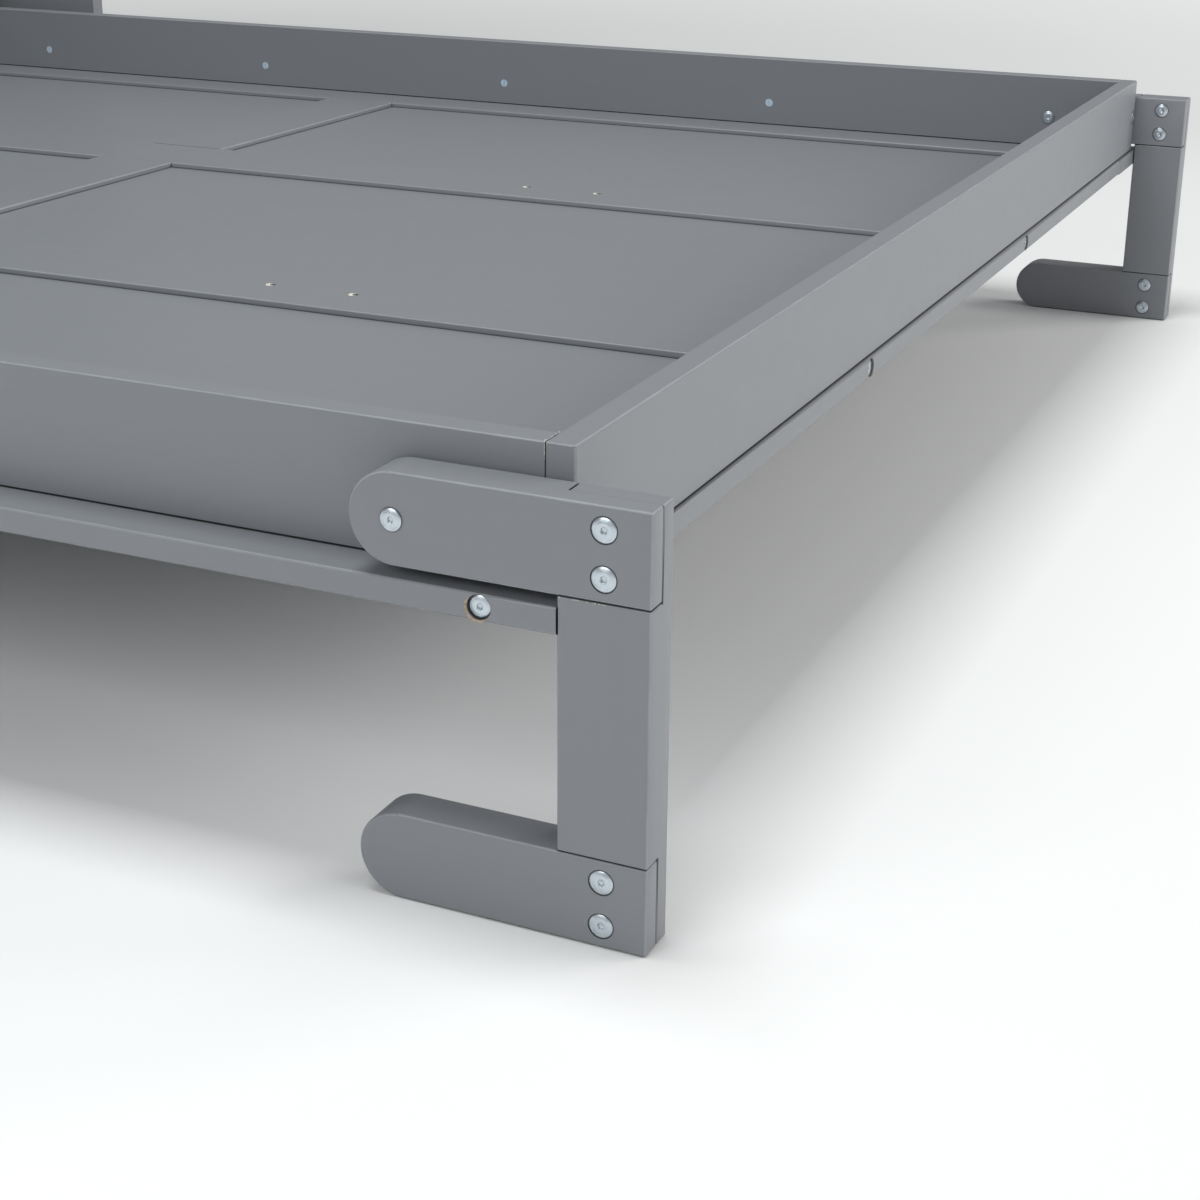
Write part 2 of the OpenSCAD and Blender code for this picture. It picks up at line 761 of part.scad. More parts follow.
// An ear: a disc on a tapered foot whose two edges run almost tangent to it
module ear(at, base_z, half_base) {
    rise = at[1] - base_z;
    neck = ear_r * neck_share;
    slope = acos(neck / sqrt(half_base * half_base + rise * rise)) - atan2(rise, half_base);
    translate([at[0], base_z]) polygon([[-half_base, 0], [half_base, 0],
        [neck * cos(slope), rise + neck * sin(slope)],
        [-neck * cos(slope), rise + neck * sin(slope)]]);
    translate(at) circle(ear_r);
}

module pivot_plate() {
    base_top = plate_low + plate_foot_h;
    color(steel) difference() {
        union() {
            translate([half_tray, 0, 0]) rotate([90, 0, 90]) linear_extrude(plate_t) {
                translate([pivot_y - plate_front, plate_low])
                    eased_plate(plate_front + plate_rear, plate_foot_h);
                ear([pivot_y, pivot_z], base_top - ear_r / 2, plate_front - ear_r / 2);
                ear([stud_y, stud_z], base_top - ear_r / 2, ear_r * stud_ear_share);
            }
            facing([half_tray, stud_y, stud_z], [1, 0, 0])
                cylinder(d = stud_d, h = strut_x - socket_w / 2 - stud_clear - half_tray);
            facing([half_tray, stud_y, stud_z], [1, 0, 0])
                cylinder(d = stud_collar_d, h = plate_t + over);
        }
        drill([half_tray, pivot_y, pivot_z], [1, 0, 0], pivot_pin_d + 2 * thread_play, plate_t + over);
        for (o = plate_bolt_offsets)
            drill([half_tray, pivot_y + o, plate_low + plate_foot_h / 2], [1, 0, 0],
                  bolt_d + 2 * bolt_play, plate_t + over);
    }
}
// Foot of the hinge plate with rounded corners
module eased_plate(a, b) {
    r = plate_corner_r;
    translate([r, 0]) square([a - 2 * r, b]);
    translate([0, r]) square([a, b - 2 * r]);
    for (x = [r, a - r], y = [r, b - r]) translate([x, y]) circle(r);
}
module left_pivot_plate() mirrored() pivot_plate();
module right_pivot_plate() pivot_plate();

// Shouldered pin that turns in the cabinet's bearing
module pivot_pin() {
    shoulder = half_cab - bearing_flange_t - slip - half_tray - plate_t;
    color(steel) {
        facing([half_tray, pivot_y, pivot_z], [1, 0, 0]) rotate_extrude() polygon([
            [0, -pin_head_t], [pin_head_d / 2 - over, -pin_head_t],
            [pin_head_d / 2, over - pin_head_t], [pin_head_d / 2, 0], [pivot_pin_d / 2, 0],
            [pivot_pin_d / 2, plate_t], [pin_shoulder_d / 2, plate_t],
            [pin_shoulder_d / 2, plate_t + shoulder], [pivot_pin_d / 2, plate_t + shoulder],
            [pivot_pin_d / 2, side_gap + bearing_boss_l - over],
            [pivot_pin_d / 2 - over, side_gap + bearing_boss_l], [0, side_gap + bearing_boss_l]]);
    }
}
module left_pivot_pin() mirrored() pivot_pin();
module right_pivot_pin() pivot_pin();

module plate_bolts() {
    color(zinc) on_both_sides() for (o = plate_bolt_offsets) {
        z = plate_low + plate_foot_h / 2;
        facing([half_tray + plate_t, pivot_y + o, z], [1, 0, 0])
            bolt(plate_t + rail_t - socket_depth - tip_gap);
        facing([half_tray - rail_t, pivot_y + o, z], [-1, 0, 0]) sleeve_nut(sleeve_l);
    }
}

// Fasteners of the bed

module frame_bolts() {
    color(zinc) {
        on_both_sides() {
            for (y = end_bolt_ys)
                facing([half_face - sunk_depth, y, face_mid], [1, 0, 0])
                    bolt(stile_w - sunk_depth + insert_l, head = sunk_head_d);
            for (s = [[face_foot, -1], [head_y, 1]])
                facing([mullion_x, s[0] - s[1] * sunk_depth, face_mid], [0, s[1], 0])
                    bolt(end_w - sunk_depth + insert_l, head = sunk_head_d);
            for (s = [[foot_y, -1], [head_y, 1]])
                facing([rail_mid_x, s[0], corner_z], [0, s[1], 0]) bolt(rail_t + insert_l);
        }
    }
}

module frame_inserts() {
    color(brass_nut) on_both_sides() {
        for (y = end_bolt_ys)
            facing([half_face - stile_w, y, face_mid], [1, 0, 0]) insert_nut();
        for (s = [[face_foot, -1], [head_y, 1]])
            facing([mullion_x, s[0] - s[1] * end_w, face_mid], [0, s[1], 0]) insert_nut();
        for (s = [[foot_y, -1], [head_y, 1]])
            facing([rail_mid_x, s[0] - s[1] * rail_t, corner_z], [0, s[1], 0]) insert_nut();
    }
}

module tray_bolts() {
    color(zinc) tray_bolt_places()
        translate([0, 0, sunk_depth]) facing([0, 0, 0], [0, 0, -1]) bolt(tray_bolt_l);
}

module tray_barrel_nuts() {
    color(brass_nut) {
        on_both_sides() for (y = side_nut_ys)
            facing([half_tray - rail_t, y, nut_z], [-1, 0, 0]) barrel_nut(rail_t / 2, [1, 0, 0]);
        for (x = end_nut_xs) {
            facing([x, foot_y + rail_t, nut_z], [0, 1, 0]) barrel_nut(rail_t / 2, [0, 1, 0]);
            facing([x, head_y - rail_t, nut_z], [0, -1, 0]) barrel_nut(rail_t / 2, [0, 1, 0]);
        }
    }
}

// Pull handles on the bed face, screwed on through the mullions
module pull_handles() {
    bar_z = face_low - pull_room - pull_d / 2;
    color(steel) on_both_sides() {
        difference() {
            union() {
                facing([mullion_x, pull_ys[0] - pull_tail, bar_z], [0, 1, 0])
                    cylinder(d = pull_d, h = pull_pitch + 2 * pull_tail);
                for (y = pull_ys) facing([mullion_x, y, face_low], [0, 0, -1])
                    cylinder(d = pull_post_d, h = pull_room + pull_d / 2);
            }
            for (y = pull_ys)
                drill([mullion_x, y, face_low], [0, 0, -1], screw_d + 2 * thread_play, screw_grip + over);
        }
    }
}

module handle_screws() {
    color(zinc) on_both_sides() for (y = pull_ys)
        translate([mullion_x, y, tray_floor - pull_screw_sink]) {
            difference() {
                cylinder(d = pull_screw_head_d, h = screw_d / 2);
                translate([0, 0, screw_d / 4]) cylinder(d = screw_drive_d, h = screw_d, $fn = 6);
            }
            translate([0, 0, pull_screw_sink - face_t - screw_grip])
                cylinder(d = screw_d, h = face_t + screw_grip - pull_screw_sink);
        }
}

// Swing legs: three equal boards half-lapped at the corners, round at the free ends

leg_half_w = leg_w / 2;
lap_t = (leg_t - lap_gap) / 2;
leg_low_z = leg_half_w;

// An arm with its round end on the pivot line; x is the leg's low side
module arm_blank(x, z) {
    facing([x, leg_pivot_y, z], [1, 0, 0]) {
        cylinder(r1 = leg_half_w - ease, r2 = leg_half_w, h = ease);
        translate([0, 0, ease]) cylinder(r = leg_half_w, h = leg_t - 2 * ease);
        translate([0, 0, leg_t - ease]) cylinder(r1 = leg_half_w, r2 = leg_half_w - ease, h = ease);
    }
    board([x, leg_end_y, z - leg_half_w], [leg_t, leg_pivot_y + ease - leg_end_y, leg_w]);
}
// Eases the edge that runs along v from a point, at the open mouth of a lap joint
module lap_edge(at, v, length) {
    s = lap_ease * sqrt(2);
    facing(at, v) rotate([0, 0, 45]) translate([-s / 2, -s / 2, 0]) cube([s, s, length]);
}
module leg_bolt_places(x)
    for (z = [leg_pivot_z, leg_low_z], k = [-1, 1])
        translate([x, leg_bolt_y, z + k * leg_bolt_pitch / 2]) children();
// Holes of the leg bolts, each with a shallow seat for the head on both faces
module leg_bolt_holes(x)
    leg_bolt_places(x) {
        drill([0, 0, 0], [1, 0, 0], sleeve_d + 2 * bolt_play, leg_t + over);
        drill([0, 0, 0], [1, 0, 0], head_d + 2 * seat_play, seat_depth);
        drill([leg_t, 0, 0], [-1, 0, 0], head_d + 2 * seat_play, seat_depth);
    }

module arm(x, z) {
    difference() {
        arm_blank(x, z);
        translate([x + lap_t, leg_end_y - over, z - leg_w])
            cube([leg_t, leg_w + over, 2 * leg_w]);
        lap_edge([x + lap_t, leg_end_y, z - leg_w], [0, 0, 1], 2 * leg_w);
        lap_edge([x + leg_t, leg_end_y + leg_w, z - leg_w], [0, 0, 1], 2 * leg_w);
        leg_bolt_holes(x);
    }
}
module upper_arm(x) {
    color(paint) difference() {
        arm(x, leg_pivot_z);
        drill([x, leg_pivot_y, leg_pivot_z], [1, 0, 0], pivot_bolt_d + 2 * pin_play, leg_t + over);
    }
}
module lower_arm(x) color(paint) arm(x, leg_low_z);
module upright(x) {
    color(paint) difference() {
        board([x, leg_end_y, 0], [leg_t, leg_w, leg_h]);
        for (z = [-over, leg_h - leg_w])
            translate([x - over, leg_end_y - over, z])
                cube([leg_t - lap_t + over, leg_w + 2 * over, leg_w + over]);
        for (z = [0, leg_h - leg_w - lap_ease / 2])
            lap_edge([x + leg_t - lap_t, leg_end_y, z], [0, 0, 1], leg_w + lap_ease / 2);
        for (z = [leg_w, leg_h - leg_w]) {
            lap_edge([x, leg_end_y, z], [0, 1, 0], leg_w + over);
            lap_edge([x, leg_end_y, z], [1, 0, 0], leg_t - lap_t + lap_ease / 2);
        }
        leg_bolt_holes(x);
    }
}
module leg_bolts(x) {
    color(zinc) leg_bolt_places(x) {
        facing([seat_depth, 0, 0], [-1, 0, 0]) bolt(leg_t - 2 * seat_depth - socket_depth - tip_gap);
        facing([leg_t - seat_depth, 0, 0], [1, 0, 0]) sleeve_nut(sleeve_l);
    }
}
module left_leg_upper_arm() upper_arm(leg_left_x);
module left_leg_upright() upright(leg_left_x);
module left_leg_lower_arm() lower_arm(leg_left_x);
module left_leg_bolts() leg_bolts(leg_left_x);
module right_leg_upper_arm() upper_arm(leg_right_x);
module right_leg_upright() upright(leg_right_x);
module right_leg_lower_arm() lower_arm(leg_right_x);
module right_leg_bolts() leg_bolts(leg_right_x);

// The bolt that a leg turns on, its nut inside the tray and the washer between
pivot_bolt_l = leg_t + leg_gap + rail_t + slip - socket_depth - tip_gap;
module leg_pivot_bolts()
    color(zinc) on_both_sides()
        facing([half_face + slip, leg_pivot_y, leg_pivot_z], [1, 0, 0])
            bolt(pivot_bolt_l, d = pivot_bolt_d, head = pivot_head_d);
module leg_pivot_nuts()
    color(zinc) on_both_sides()
        facing([half_tray - rail_t, leg_pivot_y, leg_pivot_z], [-1, 0, 0])
            sleeve_nut(rail_t - slip, d = pivot_sleeve_d, bore = pivot_bolt_d);
module leg_spacers()
    color(nylon) on_both_sides() difference() {
        facing([half_tray, leg_pivot_y, leg_pivot_z], [1, 0, 0])
            cylinder(d = spacer_d, h = leg_gap - slip);
        drill([half_tray, leg_pivot_y, leg_pivot_z], [1, 0, 0],
              pivot_bolt_d + 2 * bolt_play, leg_gap + over);
    }

// Gas struts, drawn down from the upper anchor along their own axis

module along_strut()
    translate([strut_x, anchor_y, anchor_z]) rotate([strut_lean - 180, 0, 0]) children();
module eye(width, bore) {
    rotate([0, 90, 0]) difference() {
        cylinder(d = eye_d, h = width, center = true);
        cylinder(d = bore, h = width + 2 * over, center = true);
    }
}

module gas_cylinder() {
    color(black_lacquer) along_strut() difference() {
        union() {
            eye(eye_w, stud_d + 2 * pin_play);
            difference() {
                cylinder(d = rod_d, h = tube_start + over);
                rotate([0, 90, 0]) cylinder(d = stud_d + 2 * over, h = eye_d, center = true);
            }
            translate([0, 0, tube_start]) cylinder(d = tube_d, h = tube_end - tube_start);
        }
        translate([0, 0, tube_start + tube_base])
            cylinder(d = tube_d - 2 * tube_wall, h = tube_end - tube_start - tube_base - tube_guide);
        translate([0, 0, tube_end - tube_guide - over])
            cylinder(d = rod_d + 2 * slip, h = tube_guide + 2 * over);
    }
}
module left_gas_cylinder() mirrored() gas_cylinder();
module right_gas_cylinder() gas_cylinder();

module piston_rod() {
    color(zinc) along_strut() {
        translate([0, 0, piston_start])
            cylinder(d = tube_d - 2 * tube_wall - 2 * piston_play, h = piston_l);
        difference() {
            translate([0, 0, piston_start]) cylinder(d = rod_d, h = strut_l - piston_start);
            translate([0, 0, strut_l]) rotate([0, 90, 0])
                cylinder(d = stud_d + 2 * over, h = eye_d, center = true);
        }
        translate([0, 0, strut_l]) eye(socket_w, stud_d + 2 * pin_play);
    }
}
module left_piston_rod() mirrored() piston_rod();
module right_piston_rod() piston_rod();

left_side_panel();
right_side_panel();
top_panel();
header_rail();
upper_back_rail();
middle_back_rail();
lower_back_rail();
plinth_board();
left_pivot_bearing();
right_pivot_bearing();
left_strut_bracket();
right_strut_bracket();
cabinet_bolts();
cabinet_barrel_nuts();
hinge_screws();
left_side_rail();
right_side_rail();
foot_rail();
head_rail();
left_stile();
right_stile();
foot_frame_rail();
head_frame_rail();
left_mullion();
right_mullion();
left_cross_rail();
centre_cross_rail();
right_cross_rail();
left_foot_panel();
centre_foot_panel();
right_foot_panel();
left_head_panel();
centre_head_panel();
right_head_panel();
left_pivot_plate();
right_pivot_plate();
left_pivot_pin();
right_pivot_pin();
plate_bolts();
frame_bolts();
frame_inserts();
tray_bolts();
tray_barrel_nuts();
leg_pivot_bolts();
leg_pivot_nuts();
leg_spacers();
pull_handles();
handle_screws();
left_leg_upper_arm();
left_leg_upright();
left_leg_lower_arm();
left_leg_bolts();
right_leg_upper_arm();
right_leg_upright();
right_leg_lower_arm();
right_leg_bolts();
left_gas_cylinder();
left_piston_rod();
right_gas_cylinder();
right_piston_rod();
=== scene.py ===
# %% [markdown]
# # A wall bed, lowered
# The bed is a painted timber tray that folds down out of a cabinet on the wall. Its foot
# end stands on two C-shaped swing legs. The construction arrives as a finished model with
# real sizes and joints. This lesson dresses it: it softens the edges of the boards, turns
# detailed bolt heads, wears the paint and lights the whole thing like a catalogue picture.

# %% Load the construction
import json
import math

import bpy
import bmesh
import numpy as np
from mathutils import Matrix, Vector

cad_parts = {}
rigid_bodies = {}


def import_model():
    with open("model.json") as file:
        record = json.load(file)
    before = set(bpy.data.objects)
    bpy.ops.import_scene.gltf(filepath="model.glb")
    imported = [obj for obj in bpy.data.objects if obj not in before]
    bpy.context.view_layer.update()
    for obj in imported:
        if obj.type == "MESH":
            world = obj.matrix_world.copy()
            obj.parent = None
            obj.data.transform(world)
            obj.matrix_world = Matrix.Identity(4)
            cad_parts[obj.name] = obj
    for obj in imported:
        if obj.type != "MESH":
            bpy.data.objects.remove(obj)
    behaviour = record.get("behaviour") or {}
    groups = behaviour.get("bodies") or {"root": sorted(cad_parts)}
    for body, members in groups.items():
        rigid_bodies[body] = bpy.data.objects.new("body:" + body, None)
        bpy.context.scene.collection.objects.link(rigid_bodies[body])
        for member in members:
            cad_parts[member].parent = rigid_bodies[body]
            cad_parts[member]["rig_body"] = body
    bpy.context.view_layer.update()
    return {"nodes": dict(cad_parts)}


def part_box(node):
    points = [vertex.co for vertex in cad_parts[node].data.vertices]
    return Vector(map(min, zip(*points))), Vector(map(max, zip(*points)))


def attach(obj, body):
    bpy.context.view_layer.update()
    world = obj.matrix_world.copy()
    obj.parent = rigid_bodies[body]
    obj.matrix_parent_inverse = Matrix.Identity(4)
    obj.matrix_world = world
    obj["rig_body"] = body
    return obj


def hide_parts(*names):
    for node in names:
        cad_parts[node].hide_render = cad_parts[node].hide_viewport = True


for stray in list(bpy.data.objects):
    bpy.data.objects.remove(stray)

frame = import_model()
NODES = frame["nodes"]
BODY_OF = {name: part["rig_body"] for name, part in NODES.items()}
MM = 0.001

# %% [markdown]
# ## The camera
# The picture was taken from near the floor on the bed's left, looking across its foot
# corner. The place and the turn of the camera were fitted to the corners of the tray, the
# legs and the bolts. A slight shift of the lens keeps the uprights nearly parallel, the way
# a product photographer would set it.

# %% Set the camera
CAMERA_AT = Vector((-1.790666, -1.484898, 0.643300))
CAMERA_YAW = 1.1466
CAMERA_DIP = 0.3503
CAMERA_ROLL = 0.0079
CAMERA_LENS = 62.53
CAMERA_SHIFT_Y = -0.06


def aim_camera():
    """A camera turned by yaw, dip and roll, all in radians."""
    data = bpy.data.cameras.new("studio_camera")
    data.lens = CAMERA_LENS
    data.sensor_width = 36
    data.shift_y = CAMERA_SHIFT_Y
    data.clip_start, data.clip_end = 0.05, 60
    level = Vector((math.cos(CAMERA_YAW), -math.sin(CAMERA_YAW), 0))
    forward = Vector((math.sin(CAMERA_YAW) * math.cos(CAMERA_DIP),
                      math.cos(CAMERA_YAW) * math.cos(CAMERA_DIP), -math.sin(CAMERA_DIP)))
    upright = level.cross(forward)
    right = level * math.cos(CAMERA_ROLL) + upright * math.sin(CAMERA_ROLL)
    up = upright * math.cos(CAMERA_ROLL) - level * math.sin(CAMERA_ROLL)
    camera = bpy.data.objects.new("studio_camera", data)
    turn = Matrix((right, up, -forward)).transposed().to_4x4()
    camera.matrix_world = Matrix.Translation(CAMERA_AT) @ turn
    bpy.context.scene.collection.objects.link(camera)
    bpy.context.scene.camera = camera


aim_camera()
print("camera at", tuple(round(c, 3) for c in CAMERA_AT), "lens", CAMERA_LENS, "mm")

# %% [markdown]
# ## Helpers for materials
# A procedural material is a small machine of nodes. These helpers keep each recipe short:
# one makes a node and fills in its sockets, one reads object coordinates through a mapping
# that can stretch a pattern, one reads a value that the mesh carries, and one turns several
# heights into a bump.

# %% Material helpers


def put(tree, kind, **sockets):
    """A new node of that kind; each keyword fills the input socket of that name."""
    made = tree.nodes.new(kind)
    for name, value in sockets.items():
        made.inputs[name.replace("_", " ")].default_value = value
    return made


def blank_material(name):
    """A material with one principled shader, and its node tree and shader."""
    material = bpy.data.materials.new(name)
    material.use_nodes = True
    tree = material.node_tree
    shader = next(n for n in tree.nodes if n.type == "BSDF_PRINCIPLED")
    return material, tree, shader


def stretched_coords(tree, scale, at=(0, 0, 0)):
    """Object coordinates, scaled on each axis, so that a pattern can run with the grain."""
    coords = tree.nodes.new("ShaderNodeTexCoord")
    mapping = put(tree, "ShaderNodeMapping", Location=at, Scale=scale)
    tree.links.new(coords.outputs["Object"], mapping.inputs["Vector"])
    return mapping.outputs["Vector"]


def noise(tree, scale, detail=2.0, roughness=0.5, stretch=(1, 1, 1), at=(0, 0, 0)):
    """A noise pattern; its scale is in waves per metre."""
    made = put(tree, "ShaderNodeTexNoise", Scale=scale, Detail=detail, Roughness=roughness)
    tree.links.new(stretched_coords(tree, stretch, at), made.inputs["Vector"])
    return made.outputs["Fac"]


def ranged(tree, value, low, high, new_low, new_high):
    """Maps low..high of a pattern to new_low..new_high, clamped."""
    made = put(tree, "ShaderNodeMapRange", From_Min=low, From_Max=high,
               To_Min=new_low, To_Max=new_high)
    tree.links.new(value, made.inputs["Value"])
    return made.outputs["Result"]


def feed(tree, target, given):
    """Links a socket to an input, or writes a plain value into it."""
    if isinstance(given, bpy.types.NodeSocket):
        tree.links.new(given, target)
    else:
        target.default_value = given


def arithmetic(tree, operation, *terms):
    """One step of arithmetic on sockets and numbers."""
    made = tree.nodes.new("ShaderNodeMath")
    made.operation = operation
    for target, term in zip(made.inputs, terms):
        feed(tree, target, term)
    return made.outputs["Value"]


def carried(tree, attribute):
    """A value that the mesh itself carries under that name."""
    made = tree.nodes.new("ShaderNodeAttribute")
    made.attribute_name = attribute
    return made.outputs["Fac"]


def mixed(tree, share, first, second, blend="MIX"):
    """A colour between two colours or sockets."""
    made = tree.nodes.new("ShaderNodeMix")
    made.data_type = "RGBA"
    made.blend_type = blend
    for socket, given in (("Factor_Float", share), ("A_Color", first), ("B_Color", second)):
        feed(tree, next(s for s in made.inputs if s.identifier == socket), given)
    return next(s for s in made.outputs if s.identifier == "Result_Color")


def bumped(tree, shader, layers):
    """Chains bumps: each layer is a height socket and the height of its waves in metres."""
    normal = None
    for height, depth in layers:
        bump = put(tree, "ShaderNodeBump", Strength=1.0, Distance=depth)
        tree.links.new(height, bump.inputs["Height"])
        if normal:
            tree.links.new(normal, bump.inputs["Normal"])
        normal = bump.outputs["Normal"]
    tree.links.new(normal, shader.inputs["Normal"])


def grey(level, cool=0.0):
    """A linear grey; cool shifts it a little towards blue."""
    return (level * (1 - cool), level, level * (1 + cool), 1)


# %% [markdown]
# ## Satin paint
# The boards are sprayed in a mid grey satin paint. Under studio light such a coat is never
# one colour: the tone drifts slowly along a board, the spray leaves a fine orange peel, and
# the grain of the wood below telegraphs through as faint streaks that follow the board. The
# recipe has those three scales, and the streaks take the direction of each board.
#
# Three marks on the faces are painted light and shade. Eased edges get a painted highlight,
# a lighter tone where a rounded edge catches the light. The mouths of the laps get painted
# shade for the dark gap in the joint. Tight butt joints get the painted highlight too and no
# crevice shade, so they read as thin lines. Everywhere else painted shade darkens the
# crevices: the ambient occlusion node finds where little of the sky can be seen.

# %% Satin paint
PAINT_LEVEL = 0.235
PAINT_TINT = (0.955, 1.0, 1.07)
# The first tone is a painted highlight on eased edges, the second is painted shade in the mouths of
# the laps, the third is painted shade in crevices.
EDGE_HIGHLIGHT_TONE, LAP_SHADE_TONE, CREVICE_SHADE_TONE = 1.40, 0.22, 0.16
CREVICE_REACH = 1.6 * MM
CREVICE_SKY, OPEN_SKY, DEEPEST_CREVICE_SHADE = 0.58, 0.95, 0.92
DRIFT_WAVES, MOTTLE_WAVES, GRAIN_WAVES, PEEL_WAVES = 1.7, 40, 300, 700
GRAIN_STRETCH = 0.025
GRAIN_DEPTH, PEEL_DEPTH = 0.012 * MM, 0.010 * MM
SATIN = (0.43, 0.455)


def paint_tone(share):
    """The paint's colour, lighter or darker by a share."""
    return tuple(PAINT_LEVEL * share * c for c in PAINT_TINT) + (1,)


def crevice(tree):
    """Share of painted shade, one deep in a joint, where the ambient occlusion finds little sky;
    zero on open faces.
    """
    open_sky = put(tree, "ShaderNodeAmbientOcclusion", Distance=CREVICE_REACH)
    open_sky.samples = 4
    return ranged(tree, open_sky.outputs["AO"], CREVICE_SKY, OPEN_SKY, DEEPEST_CREVICE_SHADE, 0.0)


def satin_paint(name, along):
    """Grey satin paint on a board whose grain runs along axis 0, 1 or 2, with a painted highlight
    on eased edges and painted shade in the laps and crevices.
    """
    material, tree, shader = blank_material(name)
    stretch = [1.0, 1.0, 1.0]
    stretch[along] = GRAIN_STRETCH
    drift = noise(tree, DRIFT_WAVES, detail=2, at=(3.1, 0.7, 1.9))
    mottle = noise(tree, MOTTLE_WAVES, detail=3, roughness=0.6)
    grain = noise(tree, GRAIN_WAVES, detail=4, roughness=0.65, stretch=stretch)
    peel = noise(tree, PEEL_WAVES, detail=2)
    tone = mixed(tree, drift, paint_tone(0.97), paint_tone(1.03))
    spotted = mixed(tree, ranged(tree, mottle, 0.35, 0.75, 0.0, 0.025), tone, paint_tone(0.75))
    streaked = mixed(tree, ranged(tree, grain, 0.45, 0.8, 0.0, 0.06), spotted, paint_tone(0.70))
    # Painted highlight: eased faces are lightened towards the edge tone, by a share that varies
    # with the mottle.
    edge_highlight_share = arithmetic(tree, "MULTIPLY", carried(tree, "eased"),
                        ranged(tree, mottle, 0.3, 0.7, 0.55, 1.0))
    highlighted = mixed(tree, edge_highlight_share, streaked, paint_tone(EDGE_HIGHLIGHT_TONE))
    # Painted shade: the faces in the mouths of the laps are darkened for the gap in the joint.
    lap_shaded = mixed(tree, carried(tree, "seam"), highlighted, paint_tone(LAP_SHADE_TONE))
    # Painted shade: crevices darken with the ambient occlusion, except in tight butt joints, which
    # get none.
    shade_allowed = arithmetic(tree, "SUBTRACT", 1.0, carried(tree, "tight"))
    crevice_shade = arithmetic(tree, "MULTIPLY", crevice(tree), shade_allowed)
    tree.links.new(mixed(tree, crevice_shade, lap_shaded, paint_tone(CREVICE_SHADE_TONE)), shader.inputs["Base Color"])
    tree.links.new(ranged(tree, mottle, 0.3, 0.7, *SATIN), shader.inputs["Roughness"])
    shader.inputs["Specular IOR Level"].default_value = 0.5
    bumped(tree, shader, [(grain, GRAIN_DEPTH), (peel, PEEL_DEPTH)])
    return material


PAINT = [satin_paint("satin_paint_along_" + axis, i) for i, axis in enumerate("xyz")]

# %% [markdown]
# ## Bare wood
# Where a bolt sinks into the edge of a board, the drill has cut through the paint, and the
# wood shows as a thin ragged ring. It needs only a warm colour, fine fibres and no gloss.
# Splinters and chips along the joints show the palest, outermost fibres.

# %% Bare wood
FIBRE_WAVES, STAIN_WAVES = 900, 300
FIBRE_DEPTH = 0.2 * MM


def bare_wood(name, dark, light):
    """Dry fibres that run along Y, between a dark and a light colour."""
    material, tree, shader = blank_material(name)
    fibre = noise(tree, FIBRE_WAVES, detail=4, roughness=0.7, stretch=(1.0, 0.08, 1.0))
    stain = noise(tree, STAIN_WAVES, detail=2, at=(5, 2, 7))
    pale = mixed(tree, ranged(tree, fibre, 0.3, 0.7, 0, 1), dark, light)
    dusty = mixed(tree, ranged(tree, stain, 0.45, 0.7, 0, 0.4), pale, dark, "MULTIPLY")
    tree.links.new(dusty, shader.inputs["Base Color"])
    shader.inputs["Roughness"].default_value = 0.85
    bumped(tree, shader, [(fibre, FIBRE_DEPTH)])
    return material


BARE_WOOD = bare_wood("bare_wood", (0.34, 0.25, 0.17, 1), (0.52, 0.41, 0.31, 1))
PALE_WOOD = bare_wood("pale_wood", (0.58, 0.53, 0.47, 1), (0.84, 0.80, 0.75, 1))

# %% [markdown]
# ## Metals
# The bolts are steel with bright zinc plating: a cool, near white metal with a soft gloss
# that varies from patch to patch. The barrel nuts are duller, as small cast parts are.
# The cylinder of the gas strut wears black stoving lacquer, and its rod is ground chrome.

# %% Metals
PATCH_WAVES = 240
BRIGHT_PATCH, DULL_PATCH = 1.05, 0.86


def plated(name, colour, rough_low, rough_high, scratches=0.02 * MM, metal=1.0):
    """Plated steel with patchy gloss and fine handling marks."""
    material, tree, shader = blank_material(name)
    patch = noise(tree, PATCH_WAVES, detail=4, roughness=0.6)
    marks = noise(tree, 1500, detail=2, stretch=(1, 0.12, 0.35))
    bright = tuple(min(1.0, c * BRIGHT_PATCH) for c in colour) + (1,)
    dull = tuple(c * DULL_PATCH for c in colour) + (1,)
    tree.links.new(mixed(tree, patch, dull, bright), shader.inputs["Base Color"])
    shader.inputs["Metallic"].default_value = metal
    tree.links.new(ranged(tree, patch, 0.3, 0.7, rough_low, rough_high), shader.inputs["Roughness"])
    bumped(tree, shader, [(marks, scratches)])
    return material


def lacquer(name):
    """Black stoving lacquer with a light orange peel."""
    material, tree, shader = blank_material(name)
    drift = noise(tree, 30, detail=2)
    peel = noise(tree, 900, detail=2)
    tree.links.new(mixed(tree, drift, grey(0.012), grey(0.02)), shader.inputs["Base Color"])
    tree.links.new(ranged(tree, drift, 0.3, 0.7, 0.22, 0.34), shader.inputs["Roughness"])
    shader.inputs["Coat Weight"].default_value = 0.3
    bumped(tree, shader, [(peel, 0.02 * MM)])
    return material


def nylon(name):
    """Cloudy natural nylon."""
    material, tree, shader = blank_material(name)
    cloud = noise(tree, 120, detail=2)
    tone = mixed(tree, cloud, grey(0.55, -0.02), grey(0.66, -0.03))
    tree.links.new(tone, shader.inputs["Base Color"])
    shader.inputs["Roughness"].default_value = 0.5
    bumped(tree, shader, [(cloud, 0.03 * MM)])
    return material


